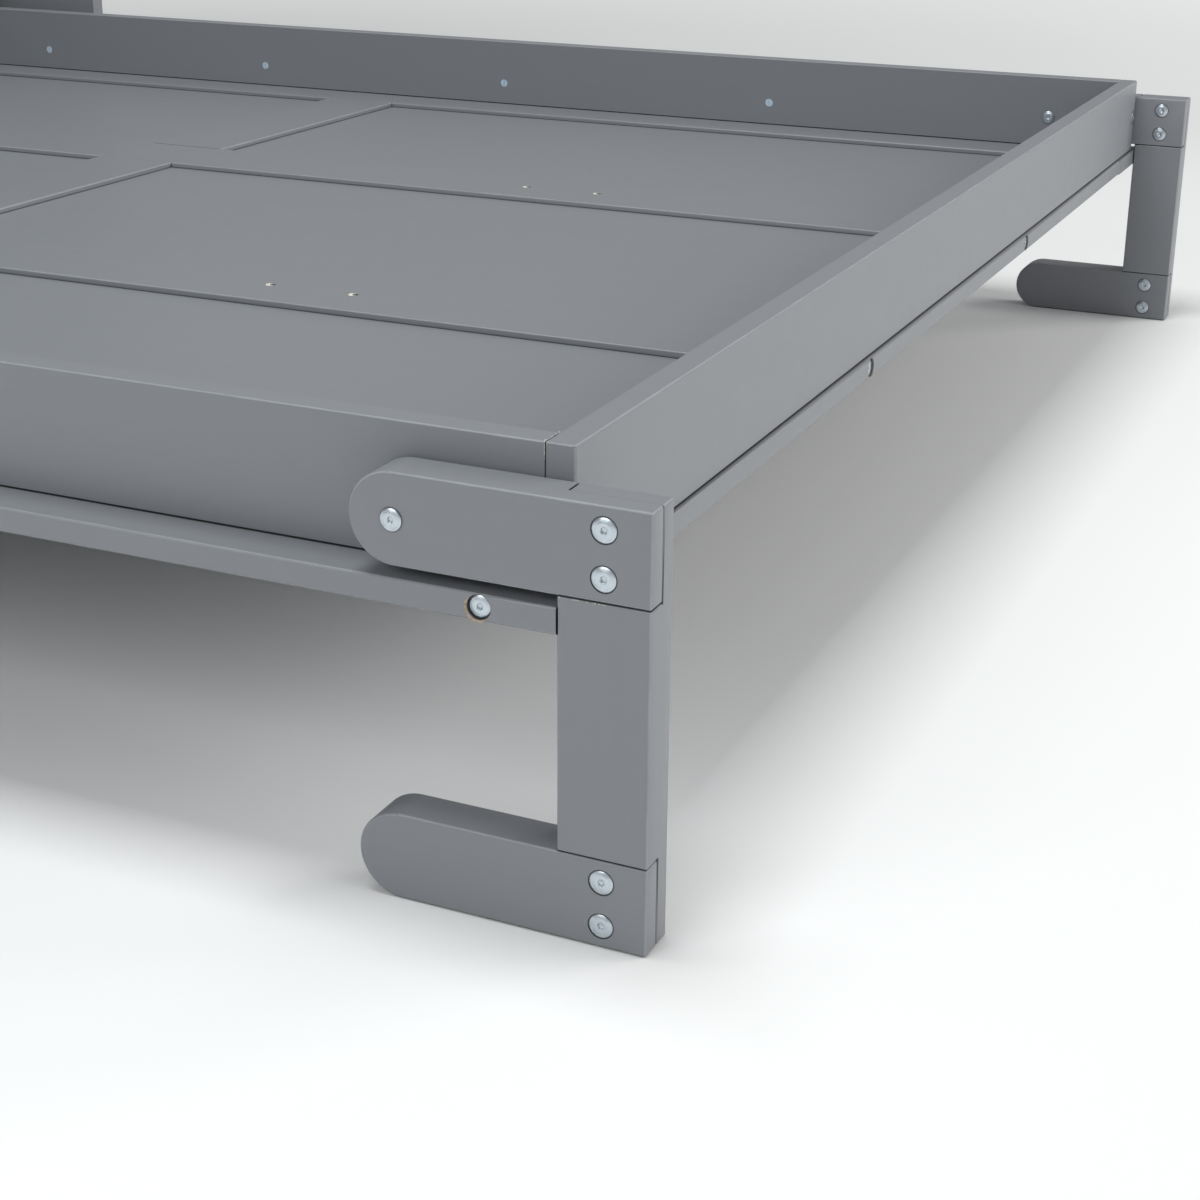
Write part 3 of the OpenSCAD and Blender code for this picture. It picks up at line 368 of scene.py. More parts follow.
ZINC = plated("bright_zinc", (0.62, 0.68, 0.73), 0.24, 0.40)
NUT_ZINC = plated("nut_zinc", (0.66, 0.79, 0.92), 0.26, 0.42, metal=0.3)
HINGE_STEEL = plated("hinge_steel", (0.66, 0.68, 0.71), 0.30, 0.48, 0.04 * MM)
HANDLE_STEEL = plated("brushed_steel", (0.72, 0.73, 0.74), 0.26, 0.36)
ROD_STEEL = plated("ground_chrome", (0.86, 0.87, 0.88), 0.08, 0.16, 0.005 * MM)
LACQUER = lacquer("black_lacquer")
NYLON = nylon("natural_nylon")
METAL_OF_SLOT = {"zinc_fasteners": ZINC, "threaded_nuts": NUT_ZINC, "hinge_steel": HINGE_STEEL,
                 "handle_steel": HANDLE_STEEL, "nylon_washers": NYLON, "cylinder_lacquer": LACQUER,
                 "rod_steel": ROD_STEEL}
SLOT_OF = {name: part.data.materials[0].name.split(".")[0] for name, part in NODES.items()}
for name, slot in SLOT_OF.items():
    if slot in METAL_OF_SLOT:
        NODES[name].data.materials.clear()
        NODES[name].data.materials.append(METAL_OF_SLOT[slot])

# %% [markdown]
# ## Find the bolts
# The construction holds each kind of bolt as a group of separate solids. To build on them,
# the script needs the place, the direction and the size of every one. It merges the loose
# triangles, splits them into islands, and measures each island along the axis it was turned
# on: the one across which its two widths are equal.

# %% Find the bolts
MERGE_WITHIN = 0.002 * MM
RIM_SHARE = 0.9
END_SLICE = 0.1 * MM


def merged_copy(name):
    """A bmesh of a node whose loose triangles are joined again."""
    mesh = bmesh.new()
    mesh.from_mesh(NODES[name].data)
    bmesh.ops.remove_doubles(mesh, verts=mesh.verts, dist=MERGE_WITHIN)
    return mesh


def islands(name):
    """The corner points of each separate solid in a node, as arrays."""
    mesh = merged_copy(name)
    mesh.verts.ensure_lookup_table()
    seen, found = set(), []
    for start in mesh.verts:
        if start.index in seen:
            continue
        stack, group = [start], []
        seen.add(start.index)
        while stack:
            corner = stack.pop()
            group.append(corner.co[:])
            for edge in corner.link_edges:
                other = edge.other_vert(corner)
                if other.index not in seen:
                    seen.add(other.index)
                    stack.append(other)
        found.append(np.array(group))
    mesh.free()
    return found


def measured_bolt(points):
    """Axis, head end, head radius, shank radius and length of a bolt-shaped island."""
    low, high = points.min(0), points.max(0)
    size = high - low
    axis = min(range(3), key=lambda i: abs(size[i - 1] - size[i - 2]))
    across = [i for i in range(3) if i != axis]
    middle = (low + high) / 2
    radius = np.linalg.norm(points[:, across] - middle[across], axis=1)
    head = radius.max()
    heights = points[radius > RIM_SHARE * head, axis]
    sign = 1 if heights.mean() > middle[axis] else -1
    face = high[axis] if sign > 0 else low[axis]
    seat = heights.min() if sign > 0 else heights.max()
    tip = (low if sign > 0 else high)[axis]
    shank = radius[np.abs(points[:, axis] - tip) < END_SLICE].max()
    at = middle.copy()
    at[axis] = seat
    return {"at": Vector(at), "axis": axis, "sign": sign, "head": float(head),
            "shank": float(shank), "thick": float(abs(face - seat)), "length": float(size[axis])}


BOLT_NODES = ["cabinet_bolts", "frame_bolts", "plate_bolts", "tray_bolts", "left_leg_bolts",
              "right_leg_bolts", "leg_pivot_bolts", "leg_pivot_nuts"]
BOLTS = {name: [measured_bolt(group) for group in islands(name)] for name in BOLT_NODES}
for name, found in BOLTS.items():
    print(name, len(found), "bolts, head", round(found[0]["head"] / MM, 1), "mm radius")

# %% [markdown]
# ## Boards with rounded edges
# The boards arrive as loose triangles with a small flat chamfer on every long edge. A real
# painted edge is rounded over with sandpaper, and it catches the light as a soft bright
# line. Bevelling again would only add faces. Weighted normals do it with none: the normals
# of the big flat faces win, so the shading turns smoothly across each chamfer. The faces
# that get painted light and shade are marked here: eased edges for a painted highlight, the
# mouths of the laps for painted shade, and tight butt joints, which get the highlight and
# no crevice shade.

# %% Finish the painted boards
ROUNDED_UP_TO = math.radians(50)
EASED_TILT = (math.radians(30), math.radians(60))
EASED_WIDTH = 3 * MM
FLAT_FACE, UPRIGHT_FACE = 0.98, 0.1
TRAY_RAILS = ("left_side_rail", "right_side_rail", "foot_rail", "head_rail")
RAIL_ENDS = [corner.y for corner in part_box("left_side_rail")]


def grain_axis(name):
    """The board's longest direction, which its grain follows."""
    low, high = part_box(name)
    return max(range(3), key=lambda i: high[i] - low[i])


def is_eased(face):
    """True for the narrow face of a chamfer, tilted half way between two broad ones."""
    if max(abs(part) for part in face.normal) > FLAT_FACE:
        return False
    gentle, steep = EASED_TILT
    return any(len(edge.link_faces) == 2 and gentle < edge.calc_face_angle(0.0) < steep
               and 2 * face.calc_area() < EASED_WIDTH * edge.calc_length() for edge in face.edges)


def is_seam(face, low, high):
    """True for an eased face in the upright mouth of a lap, away from the board's own edges."""
    at = face.calc_center_median()
    near = [min(at[i] - low[i], high[i] - at[i]) < EASED_WIDTH for i in (0, 1)]
    return near == [False, True] and abs(face.normal.z) < UPRIGHT_FACE


def is_butted(name, face):
    """True in the groove where a side rail's square end meets the eased foot or head rail."""
    y = face.calc_center_median().y
    square_end = name.endswith("side_rail") and abs(face.normal.y) > FLAT_FACE
    at_joint = any(abs(y - plane) < EASED_WIDTH for plane in RAIL_ENDS)
    return at_joint and (square_end or is_eased(face))


def finished_board(name):
    """Puts a merged copy, shaded smoothly over its chamfers, in place of a painted node."""
    mesh = merged_copy(name)
    low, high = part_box(name)
    eased = mesh.faces.layers.float.new("eased")
    seam = mesh.faces.layers.float.new("seam")
    tight = mesh.faces.layers.float.new("tight")
    for face in mesh.faces:
        face.smooth = True
        # Marks for painted light: eased faces take the painted highlight, lap mouths take painted
        # shade, and tight butt faces take the highlight and no crevice shade.
        lapped = name.endswith("leg_upright") and is_eased(face) and is_seam(face, low, high)
        butted = name in TRAY_RAILS and is_butted(name, face)
        face[eased] = float((is_eased(face) or butted) and not lapped)
        face[seam] = float(lapped)
        face[tight] = float(butted)
    for edge in mesh.edges:
        edge.smooth = len(edge.link_faces) == 2 and edge.calc_face_angle(0.0) < ROUNDED_UP_TO
    data = bpy.data.meshes.new(name + "_painted")
    mesh.to_mesh(data)
    mesh.free()
    board = bpy.data.objects.new(name + "_painted", data)
    bpy.context.scene.collection.objects.link(board)
    data.materials.append(PAINT[grain_axis(name)])
    weighted = board.modifiers.new("weighted_normals", "WEIGHTED_NORMAL")
    weighted.keep_sharp = True
    weighted.weight = 100
    made_plain(board)
    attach(board, BODY_OF[name])
    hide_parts(name)


def made_plain(piece):
    """Turns what the modifiers make into the piece's own mesh and removes them."""
    bpy.context.view_layer.update()
    graph = bpy.context.evaluated_depsgraph_get()
    final = bpy.data.meshes.new_from_object(
        piece.evaluated_get(graph), preserve_all_data_layers=True, depsgraph=graph)
    final.name = piece.name
    piece.modifiers.clear()
    piece.data = final
    return piece


PAINTED = [name for name, slot in SLOT_OF.items() if slot in ("painted_wood", "painted_panels")]
for name in PAINTED:
    finished_board(name)
print("painted boards:", len(PAINTED))

# %% [markdown]
# ## Turned bolt heads
# The bolts have wide flat heads: a rim with a shallow turned bevel, a flat face, and a small
# countersink round a hexagon socket. The head is turned once, as rings of points. Rings
# near the socket are pulled into a hexagon by the rule of a regular polygon, radius times
# cos 30 over the cosine of the angle to the nearest flat. Geometry Nodes then sets one on
# every bolt of the construction, each turned by a random angle, as a screwdriver leaves it.

# %% Turn one bolt head
AROUND = 48
TURNED_SHARP = math.radians(16)
HEAD_RINGS = [
    # radius, height over the seat, hexagon or round; in shares of the head's radius
    (0.390, -0.300, 0), (0.390, 0.000, 0), (0.930, 0.000, 0), (0.930, 0.026, 0), (0.994, 0.034, 0),
    (1.000, 0.044, 0), (0.992, 0.064, 0), (0.968, 0.076, 0), (0.845, 0.138, 0), (0.822, 0.146, 0),
    (0.800, 0.146, 0), (0.790, 0.138, 0), (0.772, 0.138, 0), (0.762, 0.146, 0), (0.345, 0.146, 0),
    (0.330, 0.143, 0), (0.290, 0.126, 1), (0.275, 0.108, 1), (0.268, -0.010, 1), (0.150, -0.050, 0),
    (0.040, -0.055, 0),
]
HEAD_TOP = 0.146


def ring_point(radius, height, hexagon, step):
    """A point of a ring, on a circle or on the flats of a hexagon."""
    turn = 2 * math.pi * step / AROUND
    if hexagon:
        to_flat = math.radians(math.degrees(turn) % 60 - 30)
        radius = radius * math.cos(math.radians(30)) / math.cos(to_flat)
    return Vector((radius * math.cos(turn), radius * math.sin(turn), height))


def lathe(name, rings, close_first, close_last):
    """A closed or open turned mesh; it keeps each point's radius for the turning marks."""
    mesh = bmesh.new()
    turned = mesh.verts.layers.float.new("turned")
    loops = []
    for radius, height, hexagon in rings:
        loop = [mesh.verts.new(ring_point(radius, height, hexagon, i)) for i in range(AROUND)]
        for vertex in loop:
            vertex[turned] = radius
        loops.append(loop)
    for lower, upper in zip(loops, loops[1:]):
        for i in range(AROUND):
            j = (i + 1) % AROUND
            mesh.faces.new((lower[i], lower[j], upper[j], upper[i])).smooth = True
    if close_first:
        mesh.faces.new(list(reversed(loops[0])))
    if close_last:
        mesh.faces.new(loops[-1])
    for edge in mesh.edges:
        edge.smooth = edge.calc_face_angle(0.0) < TURNED_SHARP
    data = bpy.data.meshes.new(name)
    mesh.to_mesh(data)
    mesh.free()
    piece = bpy.data.objects.new(name, data)
    bpy.context.scene.collection.objects.link(piece)
    return piece


pattern_head = lathe("pattern_head", HEAD_RINGS, close_first=True, close_last=True)
pattern_shank = lathe("pattern_shank", [(0.8, -1, 0), (1, -0.96, 0), (1, -0.02, 0)], True, True)
print("one head has", len(pattern_head.data.polygons), "faces")

# %% A material with turning marks
RING_WAVES = 95.0
RING_DEPTH, PATCH_DEPTH = 0.006 * MM, 0.010 * MM


def turned_zinc(name):
    """Bright zinc whose fine rings follow the radius that each point of a head carries."""
    material, tree, shader = blank_material(name)
    patch = noise(tree, PATCH_WAVES, detail=4, roughness=0.6)
    rings = arithmetic(tree, "MULTIPLY", carried(tree, "turned"), RING_WAVES)
    tree.links.new(mixed(tree, patch, (0.50, 0.555, 0.60, 1), (0.62, 0.68, 0.73, 1)),
                   shader.inputs["Base Color"])
    shader.inputs["Metallic"].default_value = 1.0
    tree.links.new(ranged(tree, patch, 0.3, 0.7, 0.24, 0.36), shader.inputs["Roughness"])
    bumped(tree, shader, [(arithmetic(tree, "SINE", rings), RING_DEPTH), (patch, PATCH_DEPTH)])
    return material


TURNED_ZINC = turned_zinc("turned_zinc")

# %% The tree that sets a pattern on every bolt
LOOSEST_TURN = math.radians(60)


def new_tree(name, sockets):
    """A Geometry Nodes tree with the named inputs, and its input and output nodes."""
    tree = bpy.data.node_groups.new(name, "GeometryNodeTree")
    tree.interface.new_socket("Geometry", in_out="INPUT", socket_type="NodeSocketGeometry")
    for label, kind in sockets:
        tree.interface.new_socket(label, in_out="INPUT", socket_type="NodeSocket" + kind)
    tree.interface.new_socket("Geometry", in_out="OUTPUT", socket_type="NodeSocketGeometry")
    start = tree.nodes.new("NodeGroupInput")
    finish = tree.nodes.new("NodeGroupOutput")
    return tree, start, finish


def identifier(tree, label):
    """The identifier of a named input of a tree."""
    return next(item.identifier for item in tree.interface.items_tree
                if item.name == label and item.in_out == "INPUT")


def named(tree, label, kind):
    """Reads a named attribute inside a tree."""
    made = tree.nodes.new("GeometryNodeInputNamedAttribute")
    made.data_type = kind
    made.inputs["Name"].default_value = label
    return next(s for s in made.outputs if s.name == "Attribute" and s.enabled)


def pattern_on_points(tree, points, pattern, scale, rotation):
    """One pattern object on each point, with its scale and rotation sockets."""
    info = tree.nodes.new("GeometryNodeObjectInfo")
    tree.links.new(pattern, info.inputs["Object"])
    place = tree.nodes.new("GeometryNodeInstanceOnPoints")
    tree.links.new(points, place.inputs["Points"])
    tree.links.new(info.outputs["Geometry"], place.inputs["Instance"])
    tree.links.new(scale, place.inputs["Scale"])
    tree.links.new(rotation, place.inputs["Rotation"])
    return place.outputs["Instances"]


def close_tree(tree, finish, geometry, material):
    """Every tree ends by making its instances real and giving them their material."""
    real = tree.nodes.new("GeometryNodeRealizeInstances")
    paint = tree.nodes.new("GeometryNodeSetMaterial")
    tree.links.new(geometry, real.inputs["Geometry"])
    tree.links.new(real.outputs["Geometry"], paint.inputs["Geometry"])
    tree.links.new(material, paint.inputs["Material"])
    tree.links.new(paint.outputs["Geometry"], finish.inputs["Geometry"])


def bolt_tree():
    """Sets a head and a shank on every point, each head with a turn of its own."""
    tree, start, finish = new_tree("set_bolts", [
        ("Head", "Object"), ("Shank", "Object"), ("Seed", "Int"), ("Loosest Turn", "Float"),
        ("Finish", "Material")])
    euler = tree.nodes.new("FunctionNodeEulerToRotation")
    tree.links.new(named(tree, "turn", "FLOAT_VECTOR"), euler.inputs["Euler"])
    chance = tree.nodes.new("FunctionNodeRandomValue")
    chance.data_type = "FLOAT"
    limit = next(s for s in chance.inputs if s.name == "Max" and s.enabled)
    tree.links.new(start.outputs["Loosest Turn"], limit)
    tree.links.new(start.outputs["Seed"], chance.inputs["Seed"])
    roll = tree.nodes.new("FunctionNodeAxisAngleToRotation")
    roll.inputs["Axis"].default_value = (0, 0, 1)
    value = next(s for s in chance.outputs if s.name == "Value" and s.enabled)
    tree.links.new(value, roll.inputs["Angle"])
    both = tree.nodes.new("FunctionNodeRotateRotation")
    both.rotation_space = "LOCAL"
    tree.links.new(euler.outputs["Rotation"], both.inputs["Rotation"])
    tree.links.new(roll.outputs["Rotation"], both.inputs["Rotate By"])
    heads = pattern_on_points(tree, start.outputs["Geometry"], start.outputs["Head"],
                              named(tree, "head_size", "FLOAT_VECTOR"), both.outputs["Rotation"])
    shanks = pattern_on_points(tree, start.outputs["Geometry"], start.outputs["Shank"],
                               named(tree, "shank_size", "FLOAT_VECTOR"), euler.outputs["Rotation"])
    join = tree.nodes.new("GeometryNodeJoinGeometry")
    tree.links.new(heads, join.inputs["Geometry"])
    tree.links.new(shanks, join.inputs["Geometry"])
    close_tree(tree, finish, join.outputs["Geometry"], start.outputs["Finish"])
    return tree


BOLT_TREE = bolt_tree()


def facing_turn(axis, sign):
    """Euler angles that turn +Z to face along a main axis."""
    quarter = math.pi / 2
    return {(0, 1): (0, quarter, 0), (0, -1): (0, -quarter, 0), (1, 1): (-quarter, 0, 0),
            (1, -1): (quarter, 0, 0), (2, 1): (0, 0, 0), (2, -1): (math.pi, 0, 0)}[(axis, sign)]


def points_mesh(name, places, attributes):
    """A mesh of loose points, each with its vector attributes."""
    data = bpy.data.meshes.new(name)
    data.from_pydata([tuple(p) for p in places], [], [])
    for label, values in attributes.items():
        layer = data.attributes.new(label, "FLOAT_VECTOR", "POINT")
        layer.data.foreach_set("vector", [c for value in values for c in value])
    piece = bpy.data.objects.new(name, data)
    bpy.context.scene.collection.objects.link(piece)
    return piece


def grown(piece, tree, values):
    """Runs a tree on a piece with its named inputs and keeps the result as a plain mesh."""
    modifier = piece.modifiers.new(tree.name, "NODES")
    modifier.node_group = tree
    for label, value in values.items():
        modifier[identifier(tree, label)] = value
    return made_plain(piece)


def set_bolts(node, seed):
    """Detailed bolts in place of a node of plain ones."""
    found = BOLTS[node]
    cells = {
        "turn": [facing_turn(b["axis"], b["sign"]) for b in found],
        "head_size": [(b["head"], b["head"], min(b["head"], b["thick"] / HEAD_TOP)) for b in found],
        "shank_size": [(b["shank"], b["shank"], b["length"] - b["thick"]) for b in found],
    }
    piece = points_mesh(node + "_turned", [b["at"] for b in found], cells)
    grown(piece, BOLT_TREE, {"Head": pattern_head, "Shank": pattern_shank, "Seed": seed,
                             "Loosest Turn": LOOSEST_TURN, "Finish": TURNED_ZINC})
    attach(piece, BODY_OF[node])
    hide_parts(node)
    return piece


bolt_pieces = [set_bolts(node, seed) for seed, node in enumerate(BOLT_NODES)]
print("faces of the bolts:", sum(len(piece.data.polygons) for piece in bolt_pieces))

# %% [markdown]
# ## Worn paint round the sunk bolts
# A drill chips the paint where it breaks through the edge of a board, and it does so mostly
# on the side that it drifts to. Each sunk bolt gets a thin ragged washer of bare wood. The
# washer is one flat ring for all; its outer edge is pushed out by noise, and more so on the
# worn side of each hole. The small screw holes of the pull handles splintered most.

# %% Chip the holes
CHIP_PROUD = 0.06 * MM
CHIP_WAVES = 260.0
CHIP_FROM, CHIP_FULL = 0.52, 0.90
SINK_RADIUS, SINK_REACH, SINK_WORN_SHARE = 7.72 * MM, 2.0 * MM, 0.34
PULL_HOLE_RADIUS, PULL_HOLE_REACH, PULL_HOLE_WORN_SHARE = 2.97 * MM, 3.4 * MM, 0.6
WORN_ON_SIDES, WORN_ON_ENDS, WORN_ON_TOP = (0.0, 0.75, -0.66), (0.1, 0.0, -0.2), (-0.6, 0.8, 0.0)
CHIP_RINGS = [(0.995, -0.30, 0), (1.0, 1.0, 0), (1.012, 1.0, 0)]
INSIDE_RIM = 1.006


def vector_math(tree, operation, first, second=None, scale=None):
    """A vector node; returns the output that its operation fills."""
    made = tree.nodes.new("ShaderNodeVectorMath")
    made.operation = operation
    tree.links.new(first, made.inputs[0])
    if second:
        tree.links.new(second, made.inputs[1])
    if scale:
        tree.links.new(scale, made.inputs["Scale"])
    return next(s for s in made.outputs if s.enabled)


def chip_tree():
    """Sets a washer round every hole and pushes its outer edge out unevenly."""
    tree, start, finish = new_tree("chip_holes", [
        ("Washer", "Object"), ("Reach", "Float"), ("Waves", "Float"), ("Worn Share", "Float"),
        ("Finish", "Material")])
    centre = tree.nodes.new("GeometryNodeStoreNamedAttribute")
    centre.data_type = "FLOAT_VECTOR"
    centre.inputs["Name"].default_value = "hole_centre"
    here = tree.nodes.new("GeometryNodeInputPosition").outputs["Position"]
    tree.links.new(start.outputs["Geometry"], centre.inputs["Geometry"])
    tree.links.new(here, next(s for s in centre.inputs if s.name == "Value" and s.enabled))
    euler = tree.nodes.new("FunctionNodeEulerToRotation")
    tree.links.new(named(tree, "turn", "FLOAT_VECTOR"), euler.inputs["Euler"])
    washers = pattern_on_points(tree, centre.outputs["Geometry"], start.outputs["Washer"],
                                named(tree, "hole_size", "FLOAT_VECTOR"), euler.outputs["Rotation"])
    real = tree.nodes.new("GeometryNodeRealizeInstances")
    tree.links.new(washers, real.inputs["Geometry"])
    outward = vector_math(tree, "SUBTRACT", here, named(tree, "hole_centre", "FLOAT_VECTOR"))
    unit = vector_math(tree, "NORMALIZE", outward)
    worn = vector_math(tree, "DOT_PRODUCT", unit, named(tree, "worn_side", "FLOAT_VECTOR"))
    ragged = put(tree, "ShaderNodeTexNoise", Detail=4.0, Roughness=0.7)
    tree.links.new(start.outputs["Waves"], ragged.inputs["Scale"])
    share = arithmetic(tree, "MULTIPLY_ADD", worn, start.outputs["Worn Share"],
                       ragged.outputs["Fac"])
    push = put(tree, "ShaderNodeMapRange", From_Min=CHIP_FROM, From_Max=CHIP_FULL)
    tree.links.new(share, push.inputs["Value"])
    tree.links.new(start.outputs["Reach"], push.inputs["To Max"])
    rim = tree.nodes.new("FunctionNodeCompare")
    rim.data_type = "FLOAT"
    rim.operation = "GREATER_THAN"
    tree.links.new(named(tree, "turned", "FLOAT"), rim.inputs[0])
    rim.inputs[1].default_value = INSIDE_RIM
    move = tree.nodes.new("GeometryNodeSetPosition")
    tree.links.new(real.outputs["Geometry"], move.inputs["Geometry"])
    tree.links.new(rim.outputs["Result"], move.inputs["Selection"])
    outset = vector_math(tree, "SCALE", unit, scale=push.outputs["Result"])
    tree.links.new(outset, move.inputs["Offset"])
    close_tree(tree, finish, move.outputs["Geometry"], start.outputs["Finish"])
    return tree


CHIP_TREE = chip_tree()
pattern_washer = lathe("pattern_washer", CHIP_RINGS, False, False)
FACE_LOW, FACE_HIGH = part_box("left_stile")[0].z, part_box("left_stile")[1].z
FOOT_EDGE, HEAD_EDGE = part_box("foot_frame_rail")[0].y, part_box("head_frame_rail")[1].y
SIDE_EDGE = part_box("right_stile")[1].x


def sunk_holes():
    """Mouths of the holes in the edges of the bed face: place, axis, sign and worn side."""
    holes = []
    for bolt in BOLTS["frame_bolts"]:
        if FACE_LOW < bolt["at"].z < FACE_HIGH:
            mouth = bolt["at"].copy()
            if bolt["axis"] == 0:
                mouth.x = bolt["sign"] * SIDE_EDGE
                holes.append((mouth, 0, bolt["sign"], WORN_ON_SIDES))
            else:
                mouth.y = FOOT_EDGE if bolt["sign"] < 0 else HEAD_EDGE
                holes.append((mouth, 1, bolt["sign"], WORN_ON_ENDS))
    return holes


def pull_screw_holes():
    """Mouths of the small holes in the mullions, over the screws of the pull handles."""
    holes = []
    for points in islands("handle_screws"):
        middle = (points.min(0) + points.max(0)) / 2
        holes.append((Vector((middle[0], middle[1], FACE_HIGH)), 2, 1, WORN_ON_TOP))
    return holes


def chip_holes(name, holes, radius, reach, worn_share, finish):
    """Bare wood round every hole of (mouth, axis, sign, worn side), all on the bed."""
    piece = points_mesh(name, [h[0] for h in holes], {
        "turn": [facing_turn(h[1], h[2]) for h in holes],
        "worn_side": [h[3] for h in holes],
        "hole_size": [(radius, radius, CHIP_PROUD)] * len(holes)})
    grown(piece, CHIP_TREE, {"Washer": pattern_washer, "Reach": reach, "Waves": CHIP_WAVES,
                             "Worn Share": worn_share, "Finish": finish})
    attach(piece, "bed")
    print(name, len(holes))


chip_holes("chipped_bolt_holes", sunk_holes(), SINK_RADIUS, SINK_REACH, SINK_WORN_SHARE, BARE_WOOD)
chip_holes("chipped_screw_holes", pull_screw_holes(), PULL_HOLE_RADIUS, PULL_HOLE_REACH,
           PULL_HOLE_WORN_SHARE, PALE_WOOD)

# %% [markdown]
# ## Chips along the joints
# Where two painted boards meet, the film bridges the joint and cracks as soon as the wood
# moves. It leaves a broken line of pale specks. Each joint that shows them is one line with
# a facing and a size for its specks. Geometry Nodes walks along the lines, drops some of
# the places at random, nudges the rest, and sets one small irregular flake on each.

# %% Chip the joints
FLAKE_PROUD = 0.05 * MM
FLAKE_OUTLINE = (1.0, 0.74, 0.9, 0.62, 0.97, 0.7, 0.85, 0.58, 0.93)
FLAKE_TOP = 0.8
SMALLEST_FLAKE, LARGEST_FLAKE = (0.35, 0.35, 1), (1.5, 1.5, 1)
CORNER_CHIPS, CORNER_STEP, CORNER_KEPT = 10 * MM, 1.1 * MM, 0.8
CORNER_FLAKE, CORNER_SPREAD = (2.4 * MM, 0.6 * MM, FLAKE_PROUD), (0, 0.12 * MM, 0)
TOP_FLAKE, TOP_SPREAD = (2.0 * MM, 0.7 * MM, FLAKE_PROUD), (0, 0.15 * MM, 0)
LAP_LIP, LIP_TURN = (0.38 * MM, 0.78 * MM), (0, -math.pi / 4, 0)
LAP_STEP, LAP_KEPT, LAP_STRETCHES = 1.2 * MM, 0.4, ((0.03, 0.30), (0.30, 0.62))
LAP_FLAKE, LAP_SPREAD = (1.0 * MM, 1.2 * MM, FLAKE_PROUD), (0, 0, 0)


def flake_tree():
    """Walks along every line and sets a flake at the places that it keeps."""
    tree, start, finish = new_tree("chip_joints", [
        ("Flake", "Object"), ("Step", "Float"), ("Share Kept", "Float"), ("Seed", "Int"),
        ("Finish", "Material")])
    curve = tree.nodes.new("GeometryNodeMeshToCurve")
    tree.links.new(start.outputs["Geometry"], curve.inputs["Mesh"])
    walk = tree.nodes.new("GeometryNodeResampleCurve")
    walk.mode = "LENGTH"
    tree.links.new(curve.outputs["Curve"], walk.inputs["Curve"])
    tree.links.new(start.outputs["Step"], walk.inputs["Length"])
    points = tree.nodes.new("GeometryNodeCurveToPoints")
    points.mode = "EVALUATED"
    tree.links.new(walk.outputs["Curve"], points.inputs["Curve"])

    def chance(kind, seed_step, low=None, high=None):
        """A random node with its own seed, and the output that its kind fills."""
        made = tree.nodes.new("FunctionNodeRandomValue")
        made.data_type = kind
        for label, value in (("Min", low), ("Max", high)):
            if value is not None:
                next(s for s in made.inputs if s.name == label and s.enabled).default_value = value
        seed = arithmetic(tree, "ADD", start.outputs["Seed"], seed_step)
        tree.links.new(seed, made.inputs["Seed"])
        return made, next(s for s in made.outputs if s.enabled)

    keep, kept = chance("BOOLEAN", 1)
    tree.links.new(start.outputs["Share Kept"], keep.inputs["Probability"])
    nudge = chance("FLOAT_VECTOR", 2, (-1, -1, -1), (1, 1, 1))[1]
    offset = vector_math(tree, "MULTIPLY", nudge, named(tree, "spread", "FLOAT_VECTOR"))
    move = tree.nodes.new("GeometryNodeSetPosition")
    tree.links.new(points.outputs["Points"], move.inputs["Geometry"])
    tree.links.new(offset, move.inputs["Offset"])
    factor = chance("FLOAT_VECTOR", 3, SMALLEST_FLAKE, LARGEST_FLAKE)[1]
    size = vector_math(tree, "MULTIPLY", factor, named(tree, "flake_size", "FLOAT_VECTOR"))
    euler = tree.nodes.new("FunctionNodeEulerToRotation")
    tree.links.new(named(tree, "turn", "FLOAT_VECTOR"), euler.inputs["Euler"])
    flakes = pattern_on_points(tree, move.outputs["Geometry"], start.outputs["Flake"], size,
                               euler.outputs["Rotation"])
    tree.links.new(kept, flakes.node.inputs["Selection"])
    close_tree(tree, finish, flakes, start.outputs["Finish"])
    return tree


def ragged_flake():
    """A flat flake of unit size with an irregular outline and a sloping edge."""
    mesh = bmesh.new()
    top, rim = [], []
    count = len(FLAKE_OUTLINE)
    for i, share in enumerate(FLAKE_OUTLINE):
        turn = 2 * math.pi * i / count
        x, y = 0.5 * share * math.cos(turn), 0.5 * share * math.sin(turn)
        rim.append(mesh.verts.new((x, y, -1.0)))
        top.append(mesh.verts.new((FLAKE_TOP * x, FLAKE_TOP * y, 1.0)))
    mesh.faces.new(top)
    for i in range(count):
        j = (i + 1) % count
        mesh.faces.new((rim[i], rim[j], top[j], top[i]))
    data = bpy.data.meshes.new("pattern_flake")
    mesh.to_mesh(data)
    mesh.free()
    piece = bpy.data.objects.new("pattern_flake", data)
    bpy.context.scene.collection.objects.link(piece)
    return piece


FLAKE_TREE = flake_tree()
pattern_flake = ragged_flake()


def chip_joints(name, lines, body, step, kept, seed):
    """Flakes along lines of (start, end, turn, flake size, spread), all on one body."""
    data = bpy.data.meshes.new(name)
    ends = [tuple(point) for line in lines for point in line[:2]]
    data.from_pydata(ends, [(2 * i, 2 * i + 1) for i in range(len(lines))], [])
    for label, values in (("turn", [line[2] for line in lines]),
                          ("flake_size", [line[3] for line in lines]),
                          ("spread", [line[4] for line in lines])):
        layer = data.attributes.new(label, "FLOAT_VECTOR", "POINT")
        layer.data.foreach_set("vector", [c for value in values for _ in (0, 1) for c in value])
    piece = bpy.data.objects.new(name, data)
    bpy.context.scene.collection.objects.link(piece)
    grown(piece, FLAKE_TREE, {"Flake": pattern_flake, "Step": step, "Share Kept": kept,
                              "Seed": seed, "Finish": PALE_WOOD})
    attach(piece, body)
    print(name, len(piece.data.polygons) // (len(FLAKE_OUTLINE) + 1))


